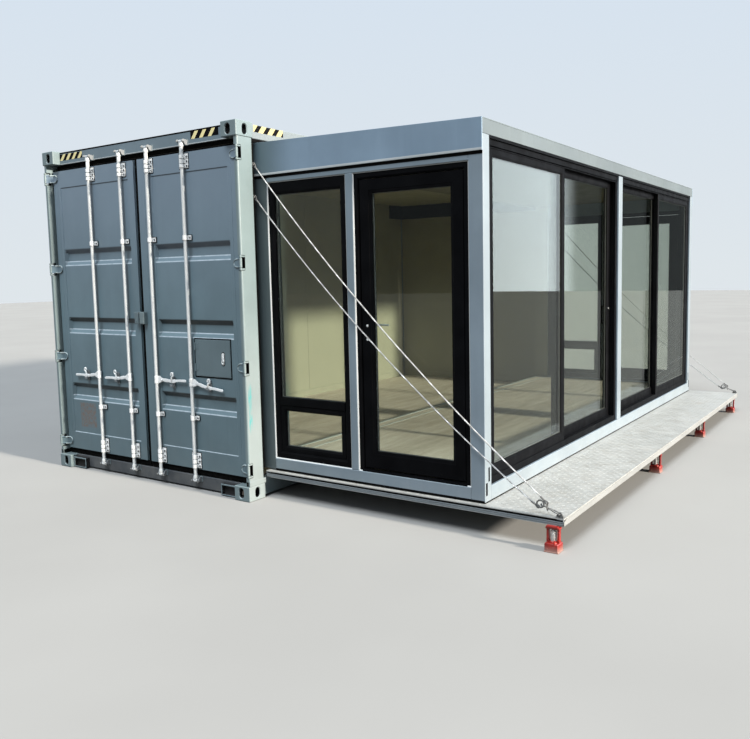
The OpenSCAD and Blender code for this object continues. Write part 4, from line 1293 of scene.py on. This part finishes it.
# shadow joint under the end fascias, their folded bottom lip, and beads of sealant round the frames; the lip and the
# beads are pale as painted highlights
m = Mesh(ENDS)
m.prism([(PY + 1, 2477), (PY - 2, 2478), (PY - 3, 2488), (PY - 9, 2497.6), (PY + 1, 2498)], "x", -96, OUT - 2, 0)
m.done("fascia_joint", "room", "rubber_black", "rubber_black")
m = Mesh(ENDS)
m.prism([(PY - 11, 2498.2), (PY - 13, 2499.5), (PY - 13.2, 2512), (PY - 11, 2517)], "x", -98, OUT - 1, 0)
m.done("fascia_lip", "room", "drip_edge", "pale_paint")
m = Mesh(ENDS)
for a, b, c, d in ((ENDX, M0, SILL, HEAD), (M1, PX, SILL, HEAD)):
    m.frame_xz(a - 0.5, b + 0.5, c - 0.5, d + 0.5, (7,) * 4, [(0, 0, 229), (1, 0, 234.2), (1, 0, 236), (0, 0, 236)])
m.done("frame_sealant", "room", "sealant", "pale_paint")
# thin board on the inner faces of the end posts, floor edge trim, threshold along the sliders
m = Mesh(ENDS)
m.box(-98, ENDX - 2, WY1 + 0.2, WY1 + 3, 300, ROOF - 6, 0.8)
m.done("post_lining_boards", "room", "lining", "lining")
m = Mesh()
m.prism([(-99, 292), (-100, 300), (-98, 302.5), (-64, 302.5), (-62, 300)], "y", WY1 + 4, L - WY1 - 4, 0)
m.prism([(36, 300), (37, 302.4), (55, 302.4), (56, 300)], "y", WY1 + 4, L - WY1 - 4, 0)
m.prism([(1724, 300), (1726, 303), (1760, 305), (1786, 305), (1788, 300)], "y", WY1 + 6, L - WY1 - 6, 0)
m.done("floor_trims", "room", "drip_edge", "pale_paint")
# painted shade: black strips fill the shaded gap under the room's sill
m = Mesh()
m.prism([(OUT - 14, 218.6), (OUT - 1.5, 218.6), (OUT - 1, 225.5), (OUT - 15, 225.5)], "y", PY + 3, L - PY - 3, 0)
m.copies = ENDS
m.prism([(PY + 3, 218.6), (PY + 12, 218.6), (PY + 13, 226), (PY + 2, 236), (PY - 1.5, 236), (PY - 2, 222)], "x", ENDX, OUT - 4, 0)
m.done("room_foot_shade_seal", "room", "rubber_black", "rubber_black")


# ---------- glazing ----------
def panes_xz(name, body, node, list_, copies):
    """each: x0, x1, z0, z1, y of the outer sheet, y of the inner sheet"""
    m, sp = Mesh(copies), Mesh(copies)
    for x0, x1, z0, z1, a, b in list_:
        e = 12
        m.box(x0 - e, x1 + e, a, a + 4, z0 - e, z1 + e, 0)
        m.box(x0 - e, x1 + e, b, b + 4, z0 - e, z1 + e, 0)
        sp.frame_xz(x0 - e, x1 + e, z0 - e, z1 + e, (e + 3,) * 4, [(0, 0, a + 4.2), (1, 0, a + 4.2), (1, 1.2, (a + b) / 2 + 2), (1, 0, b - 0.2), (0, 0, b - 0.2)])
    return m, sp


def window_profile(a, b, g, h):
    """from the outer face a to the inner face b, with the glass between g and h"""
    return [(0, 0, b), (0, 0, a + 2), (0, 2, a), (1, -17, a), (1, -15.5, a + 2), (1, -3, a + 8), (1, 0, a + 11), (1, 0, g - 1), (1, -14, g - 0.6), (1, -14, h + 0.6), (1, 0, h + 1), (1, -1, b - 3), (1, -4, b)]


m = Mesh(ENDS)
m.frame_xz(ENDX, M0, SILL, HEAD, (60, 60, 60, 96), window_profile(235, 305, 259, 279))
m.prism([(237, 741), (235, 743), (235, 799), (237, 801), (258, 801), (280, 801), (305, 801), (305, 741), (258, 741)], "x", ENDX + 58, M0 - 58, 1)
m.frame_xz(ENDX + 60, M0 - 60, SILL + 60, 741, (45, 45, 45, 45), [(0, 1.5, 281), (0, 1.5, 243), (0, 4, 241), (1, -13, 241), (1, -11, 243), (1, -2, 250), (1, 0, 252), (1, 0, 257), (1, -12, 257.5), (1, -12, 279), (1, 0, 280), (1, -3, 284), (0, 6, 284)])
m.done("window_frames_profiled", "room", "frame_black", "frame_black", ["window_frames"], 30)

m = Mesh(ENDS)
m.frame_xz(M1, PX, SILL, HEAD, (41, 41, 20, 45), [(0, 0, 305), (0, 0, 237), (0, 2, 235), (1, -9, 235), (1, -7, 237), (1, -7, 241), (1, 0, 241.5), (1, 0, 303), (1, -2, 305)])
m.box(M1 + 30, PX - 30, 228, 306, SILL - 0.5, SILL + 12, 2)
gx, gy = PX - 45, 313
for z in (560, 1360, 2170):
    m.cyl((gx, gy, z), (gx, gy, z + 34), 8, 20, 1.2)
    m.cyl((gx, gy, z + 70), (gx, gy, z + 104), 8, 20, 1.2)
    m.cyl((gx, gy, z + 1), (gx, gy, z + 103), 4, 12, 0)
    for k in (0, 70):
        m.box(gx, gx + 32, gy - 8, gy - 4, z + k, z + k + 34, 0.8)
m.done("door_frames_profiled", "room", "frame_black", "frame_black", ["door_frames"], 30)

D0, D1 = M1 + 48, PX - 47
for end, cp in (("front", [I4]), ("rear", [FY])):
    body = end + "_glazed_door"
    m = Mesh(cp)
    w = (98, 98, 126, 97)
    m.frame_xz(D0, D1, SILL + 27, HEAD - 51, w, [(0, 0, 293), (0, 0, 285), (0, 3, 283), (0, 3, 252), (0, 0, 250), (0, 0, 245), (0, 2, 243), (1, -22, 243), (1, -20.5, 245), (1, -3, 251), (1, 0, 254), (1, 0, 263), (1, -14, 263.4), (1, -14, 283.6), (1, 0, 284), (1, -1, 290), (1, -4, 293)])
    for z in (560, 1360, 2170):
        m.cyl((gx, gy, z + 35), (gx, gy, z + 69), 8, 20, 1.2)
        m.box(gx - 17, gx - 6, gy - 19.8, gy - 2, z + 35.5, z + 68.5, 1)
    m.box(D0 + 20, D1 - 20, 240.5, 244, SILL + 30, SILL + 44, 1)
    m.done(end + "_door_leaf_profiled", body, "frame_black", "frame_black", [end + "_door_leaf"], 30)
    m, sp = panes_xz("", body, "", [(D0 + 98, D1 - 98, SILL + 153, HEAD - 148, 264, 279)], cp)
    m.done(end + "_door_glass", body, "clear_glass", "clear_glass", [end + "_door_pane"])
    sp.done(end + "_door_spacer", body, "forged_grey", "galvanised")
    # lock: two small bright rosettes outside, a lever inside
    m = Mesh(cp)
    for z, r in ((1373, 9), (1275, 10)):
        m.cyl((977, 243.2, z), (977, 239.5, z), r, 24, 1.2)
        m.cyl((977, 240, z), (977, 236.5, z), r * 0.55, 16, 1)
        m.cyl((977, 292.8, z), (977, 298, z), r + 2, 24, 1.2)
    m.tube([(977, 297, 1373), (977, 330, 1373), (981, 336, 1373), (990, 338, 1373), (1095, 338, 1373)], 7, 12)
    m.done(end + "_door_lock", body, "galvanised", "galvanised")

m, sp = panes_xz("", "room", "", [(ENDX + 60, M0 - 60, 801, HEAD - 96, 260, 274), (ENDX + 105, M0 - 105, SILL + 105, 696, 258.5, 274)], ENDS)
# the fixed sheets of the long side
for y0, y1, z0, z1, a, b in ((B0 + 100, BC - 30, 447, 2478, 1856, 1870),):
    e = 12
    for x in (a, b):
        m.box(x, x + 4, y0 - e, y1 + e, z0 - e, z1 + e, 0)
    sp.frame_yz(y0 - e, y1 + e, z0 - e, z1 + e, (e + 3,) * 4, [(0, 0, a + 4.2), (1, 0, a + 4.2), (1, 1.2, (a + b) / 2 + 2), (1, 0, b - 0.2), (0, 0, b - 0.2)])
m.done("fixed_glass", "room", "clear_glass", "clear_glass", ["fixed_panes"])
sp.done("fixed_spacers", "room", "forged_grey", "galvanised")

# slider frame: two tracks side by side
m = Mesh(ENDS)
m.frame_yz(B0, B1, SSILL, ROOF, (40, 40, 45, 66), [
    (0, 0, 1790), (0, 0, 1890), (1, 6, 1890), (1, 6, 1887.5), (1, 0, 1887), (1, 0, 1870), (1, 7, 1869), (1, 7, 1865), (1, 0, 1864), (1, 0, 1843.5),
    (1, 9, 1842.5), (1, 9, 1839.5), (1, 0, 1838.5), (1, 0, 1820), (1, 4, 1819), (1, 4, 1815), (1, 0, 1814), (1, 0, 1794), (1, 7, 1793), (1, 7, 1790)])
m.box(1790, 1890, B0, B1, ROOF - 66, ROOF - 58, 0)
m.done("slider_frames_profiled", "room", "frame_black", "frame_black", ["slider_frames"], 30)


def sash_profile(a, b, g, h):
    """a is the outer face, further out, b the inner face"""
    return [(0, 0, b), (0, 0, a - 2), (0, 2, a), (1, -14, a), (1, -12.5, a - 1.5), (1, -2, a - 5), (1, 0, a - 7), (1, 0, h + 1), (1, -13, h + 0.6), (1, -13, g - 0.6), (1, 0, g - 1), (1, -2, b + 2), (1, -5, b)]


m = Mesh(ENDS)
m.frame_yz(B0 + 40, BC + 30, 367, 2538, (60, 60, 80, 60), sash_profile(1885, 1845, 1856, 1874))
m.box(1841, 1846, BC + 2, BC + 28, 375, 2530, 1)
m.done("fixed_sashes_profiled", "room", "frame_black", "frame_black", ["fixed_sashes"], 30)

for nm, cp in (("near", [I4]), ("far", [FY])):
    body = nm + "_slider"
    m = Mesh(cp)
    m.frame_yz(BC - 30, B1 - 45, 372, 2533, (60, 60, 75, 55), sash_profile(1837, 1797, 1807, 1823))
    # pull handle, outside and inside
    m.box(1836.5, 1838.4, B1 - 92, B1 - 64, 1210, 1430, 0.8)
    m.tube([(1797, B1 - 78, 1240), (1783, B1 - 78, 1240), (1778, B1 - 78, 1250), (1778, B1 - 78, 1390), (1783, B1 - 78, 1400), (1797, B1 - 78, 1400)], 6, 10)
    m.done(nm + "_slider_profiled", body, "frame_black", "frame_black", [nm + "_sliding_sash"], 30)
    m, sp = Mesh(cp), Mesh(cp)
    y0, y1, z0, z1 = BC + 30, B1 - 105, 447, 2478
    for x in (1807, 1819):
        m.box(x, x + 4, y0 - 11, y1 + 11, z0 - 11, z1 + 11, 0)
    sp.frame_yz(y0 - 11, y1 + 11, z0 - 11, z1 + 11, (14,) * 4, [(0, 0, 1811.2), (1, 0, 1811.2), (1, 1.2, 1815), (1, 0, 1818.8), (0, 0, 1818.8)])
    m.done(nm + "_slider_glass", body, "clear_glass", "clear_glass", [nm + "_sliding_pane"])
    sp.done(nm + "_slider_spacer", body, "forged_grey", "galvanised")
    m = Mesh(cp)
    m.cyl((1838.2, B1 - 78, 1382), (1841, B1 - 78, 1382), 6, 16, 0.8)
    m.done(nm + "_slider_lock", body, "galvanised", "galvanised")

# ---------- deck ----------
DY, DX, DZ = 186, 2462, 217
m = Mesh()
# edge channels, open inwards
c_sec = [(1.5, 167), (0, 168.5), (0, 203), (4, 204), (4, 209), (46, 209), (46, 205), (7, 205), (7, 172), (46, 172), (46, 167)]
c_out = [(1.5, 167), (0, 168.5), (0, 182), (2, 182.6), (2, 185.4), (0, 186), (0, 193.5), (5.5, 195), (5.5, 209), (46, 209), (46, 205), (7, 205), (7, 172), (46, 172), (46, 167)]
for k in (1, -1):
    pts = [((DY + u) if k == 1 else (L - DY - u), z) for u, z in c_out]
    m.prism(pts, "x", 8, DX, 1.2)
m.prism([(DX - u, z) for u, z in c_sec], "y", DY, L - DY, 1.2)
m.prism([(8 + u, z) for u, z in c_sec], "y", DY, L - DY, 1.2)
for i in range(1, 10):
    y = DY + 25 + i * (L - 2 * DY - 50) / 10
    m.prism([(y - 18, 172), (y + 18, 172), (y + 18, 176), (y - 14, 176), (y - 14, 205), (y + 18, 205), (y + 18, 209), (y - 18, 209)], "x", 50, DX - 42, 0.8)
for i in range(6):
    y = 380 + i * (L - 1000) / 5
    for k in range(5):
        m.cyl((-6, y + k * 48 + 0.7, 190), (-6, y + k * 48 + 47.3, 190), 15, 20, 1.5)
        if k % 2:
            m.box(-4, 16, y + k * 48 + 2, y + k * 48 + 46, 176, 198, 1.5)
        else:
            m.box(-26, -8, y + k * 48 + 2, y + k * 48 + 46, 162, 188, 1.5)
# painted light: the outward face of the side channel takes the paler second material
m.done("deck_frame_channels", "container", ["channel_paint", "edge_trim_painted_light"], "steel_paint", ["deck_frame"], pick=lambda x, y, z: int(x > DX - 6.5))

# painted shade: a black strip in the rebate under the deck plate's edge
m = Mesh(ENDS)
m.box(10, DX - 7, DY + 4.4, DY + 6, 195.2, 208.9, 0)
m.done("deck_edge_shade_strips", "container", "rubber_black", "rubber_black")

m = Mesh()
seams = [DY, 1130, 2075, 3029, 3983, 4928, L - DY]
for a, b in zip(seams, seams[1:]):
    m.box(8, DX, a + (1.6 if a > DY else 0), b - (1.6 if b < L - DY else 0), 209, 217, 1.5)
# raised lens bars, turned a quarter from each to the next
v, f = [], []
step = 40
for i in range(int((DX - 8) / step)):
    for k in range(int((L - 2 * DY) / step)):
        cx, cy = 8 + step * (i + 0.7), DY + step * (k + 0.6)
        if min(abs(cy - q) for q in seams) < 15 or DX - cx < 15:
            continue
        a, b = ((1, 1), (1, -1))[(i + k) % 2]
        a, b = a * 0.7071, b * 0.7071
        n = len(v)
        for p, q, z in ((-15, 0, 216.7), (0, -4.4, 216.7), (15, 0, 216.7), (0, 4.4, 216.7), (-6, 0, 218.3), (6, 0, 218.3)):
            v.append((cx + p * a - q * b, cy + p * b + q * a, z))
        f += [tuple(n + j for j in t) for t in ((0, 1, 4), (1, 5, 4), (1, 2, 5), (2, 3, 5), (3, 4, 5), (3, 0, 4), (0, 3, 2, 1))]
m.add(v, f)
m.done("deck_tread_sheets", "container", "deck_steel", "deck_steel", ["deck_plate"])

# painted highlight: pale lips along the deck's outer edges
m = Mesh()
m.box(8, DX, DY - 0.0, DY + 5, 166.6, 171, 1)
m.done("deck_edge_highlight_lips", "container", "pale_paint", "pale_paint")


# ---------- deck jacks ----------
def jack(m, st, x, y):
    """cast foot, two side columns, a broad ram between them, and a yoke under the deck edge"""
    m.box(x - 48, x + 48, y - 45, y + 45, 0, 9, 3, 3)
    m.loft([[(x + a * r, y + b * q, z) for a, b in ((-1, -0.86), (-0.9, -1), (0.9, -1), (1, -0.86), (1, 0.86), (0.9, 1), (-0.9, 1), (-1, 0.86))]
            for r, q, z in ((46, 43, 8), (46, 43, 50), (44, 41, 55), (41, 38, 58))])
    m.lathe((x, y, 57), (0, 0, 1), [(27, 0), (27, 7), (24, 10)], 28)
    for k in (-1, 1):
        m.prism([(x + k * 27, 57), (x + k * 43, 57), (x + k * 42, 132), (x + k * 44, 146), (x + k * 26, 146), (x + k * 29, 128)], "y", y - 13, y + 13, 1.5)
        m.cyl((x + k * 35, y - 14, 76), (x + k * 35, y - 17, 76), 5.5, 12, 1)
        m.cyl((x + k * 35, y - 14, 126), (x + k * 35, y - 17, 126), 5.5, 12, 1)
    m.box(x - 46, x + 46, y - 22, y + 22, 144, 157, 3, 3)
    m.box(x - 38, x + 38, y - 30, y + 30, 156, 166.4, 2)
    m.cyl((x - 30, y - 46 + 4, 22), (x - 30, y - 45, 22), 6, 12, 0.8)
    m.tube([(x + 20, y - 36, 50), (x + 20, y - 42, 66), (x + 21, y - 42, 82)], 5, 10)
    st.lathe((x, y, 66), (0, 0, 1), [(19.5, 0), (19.5, 50), (18.5, 51), (18.5, 54), (20.5, 55), (20.5, 62), (15, 64)], 28)
    rings = [(12.2 if i % 2 else 10.6, 130 + i * 1.7) for i in range(10)]
    st.lathe((x, y, 0), (0, 0, 1), [(11, 126)] + rings, 18)


m, st = Mesh(), Mesh()
for x, y in ((2392, 194), (2410, 2452), (2410, 4125), (2410, 5740)):
    jack(m, st, x, y)
m.done("deck_jack_bodies", "container", "red_paint", "red_paint", ["deck_jacks"])
st.done("deck_jack_screws", "container", "screw_steel", "red_paint")

# ---------- stays ----------
SY = 195
TOP_EYE, LOW_EYE, RING, PAD = (-20, 2584), (-20, 2340), (2304, 288), (2436, 240)


def arc(a, b, sag, n):
    a, b = Vector(a), Vector(b)
    c = (b - a).length
    r = (c * c / 4 + sag * sag) / (2 * sag)
    mid = (a + b) / 2
    d = (b - a).normalized()
    up_ = Vector((-d.y, d.x)) if d.x > 0 else Vector((d.y, -d.x))
    if up_.y < 0:
        up_ = -up_
    cen = mid + up_ * (r - sag)
    half = math.asin(c / 2 / r)
    out = []
    for i in range(n + 1):
        t = -half + 2 * half * i / n
        out.append(cen - up_ * r * math.cos(t) + d * r * math.sin(t))
    return out


def rope(m, a, b, sag):
    ln = (Vector(b) - Vector(a)).length
    turns = ln / 78
    n = int(turns * 8)
    line = arc(a, b, sag, n)
    m.tube([(p.x, SY, p.y) for p in line[::12] + [line[-1]]], 2.0, 6)
    for k in range(6):
        pts = []
        for i, p in enumerate(line):
            q = line[min(i + 1, n)] - line[max(i - 1, 0)]
            q.normalize()
            nrm = Vector((-q.y, q.x))
            t = 2 * math.pi * (turns * i / n + k / 6)
            pts.append((p.x + nrm.x * 3.2 * math.cos(t), SY + 3.2 * math.sin(t), p.y + nrm.y * 3.2 * math.cos(t)))
        m.tube(pts, 1.75, 5)


def eye_loop(m, end, toward, centre, r):
    """a rope eye round a pin or ring, on its thimble, with a pressed sleeve behind it"""
    end, toward, centre = Vector(end), Vector(toward), Vector(centre)
    d = (toward - centre).normalized()
    nrm = Vector((-d.y, d.x))
    base = centre + d * (r * 3.0)
    pts = [base]
    for i in range(15):
        t = math.radians(60 + 240 * i / 14)
        pts.append(centre + (d * math.cos(t) + nrm * math.sin(t)) * r)
    pts.append(base)
    pts = rounded([tuple(p) for p in pts], 6, 2)
    m.tube([(p[0], SY, p[1]) for p in pts], 4.4, 10)
    e = centre + d * (r * 2.7)
    f = e + d * 30
    m.lathe((e.x, SY, e.y), (f.x - e.x, 0, f.y - e.y), [(5.6, 0), (6.8, 2), (6.8, 27), (5.2, 30)], 16)


m, fit = Mesh(ENDS), Mesh(ENDS)
for eye, sag, off_ring, loop, off_eye in ((TOP_EYE, 82, (7, 43), (42, 12), (14, -14)), (LOW_EYE, 88, (-57, 6), (-15, -19), (14, -14))):
    a = (eye[0] + off_eye[0], eye[1] + off_eye[1])
    b = (RING[0] + off_ring[0], RING[1] + off_ring[1])
    line = arc(a, b, sag, 60)
    rope(m, a, b, sag)
    eye_loop(fit, a, line[2], eye, 14)
    eye_loop(fit, b, b, (RING[0] + loop[0], RING[1] + loop[1]), 9)
for e in (TOP_EYE, LOW_EYE):
    fit.lathe((e[0], 168, e[1]), (0, 1, 0), [(20, 0), (20, 4), (16, 7), (9, 8), (9, 36), (7.5, 38)], 24)
    fit.lathe((e[0], 200, e[1]), (0, 1, 0), [(13, 0), (13.5, 1), (13.5, 4), (12, 5.5)], 20)
fit.tube([(RING[0] + 23 * math.cos(a), SY, RING[1] + 23 * math.sin(a)) for a in [2 * math.pi * i / 32 for i in range(32)]], 5.2, 12, True)
# the upper stay's link stands on the hook's shank
c1, c2 = Vector((RING[0] + 43.3, RING[1] + 3)), Vector((RING[0] + 47.5, RING[1] - 24.6))
ld = (c2 - c1).normalized()
pts = []
for c_, k in ((c1, -1), (c2, 1)):
    for i in range(9):
        t = math.radians(90 - 22.5 * i)
        p = c_ + ld * (k * 9 * math.cos(t))
        pts.append((p.x, SY - k * 9 * math.sin(t), p.y))
fit.tube(pts, 3.4, 10, True)
# hook and bow shackle from the ring to the pad eye
rx, rz, px, pz = RING[0], RING[1], PAD[0], PAD[1]
dv = Vector((px - rx, pz - rz)).normalized()
nv = Vector((-dv.y, dv.x))
h0 = Vector((rx, rz)) + dv * 17
hook = [h0 + dv * (-10) + nv * 4, h0 + dv * (-12) + nv * -3, h0 + dv * 2 + nv * -9, h0 + dv * 14, h0 + dv * 60]
fit.tube([(p.x, SY, p.y) for p in [Vector(q) for q in rounded([tuple(p) for p in hook], 6, 3)]], 5, 10)
s0 = h0 + dv * 58
fit.tube([(s0.x + dv.x * 10 * math.cos(a), SY + 9 * math.sin(a), s0.y + dv.y * 10 * math.cos(a)) for a in [2 * math.pi * i / 18 for i in range(18)]], 3.6, 8, True)
e0 = Vector((px, pz)) - dv * 4
for k in (-1, 1):
    fit.tube([(s0.x + dv.x * 6, SY + k * 3, s0.y + dv.y * 6), (s0.x + dv.x * 16, SY + k * 13, s0.y + dv.y * 16), (e0.x, SY + k * 13, e0.y)], 4.2, 10)
fit.cyl((e0.x, SY - 21, e0.y), (e0.x, SY + 18, e0.y), 5, 14, 1)
fit.hex((e0.x, SY + 17, e0.y), (0, 1, 0), 8, 6)
fit.plate([[(px - 26, 217), (px + 20, 217), (px + 20, 228), (px + 12, 244), (px + 4, 252), (px - 8, 253), (px - 16, 246), (px - 26, 228)], circle2(e0.x, e0.y, 7, 16)], "y", SY - 6, SY + 6, 1.2)
fit.box(px - 30, px + 22, SY - 9, SY + 16, 216.5, 221, 1.5)
m.done("stay_ropes_stranded", "container", "rope_steel", "rope_steel", ["stay_ropes"], 60)
fit.done("stay_fittings_forged", "container", ["forged_grey"], "galvanised", ["stay_fittings"], 40)
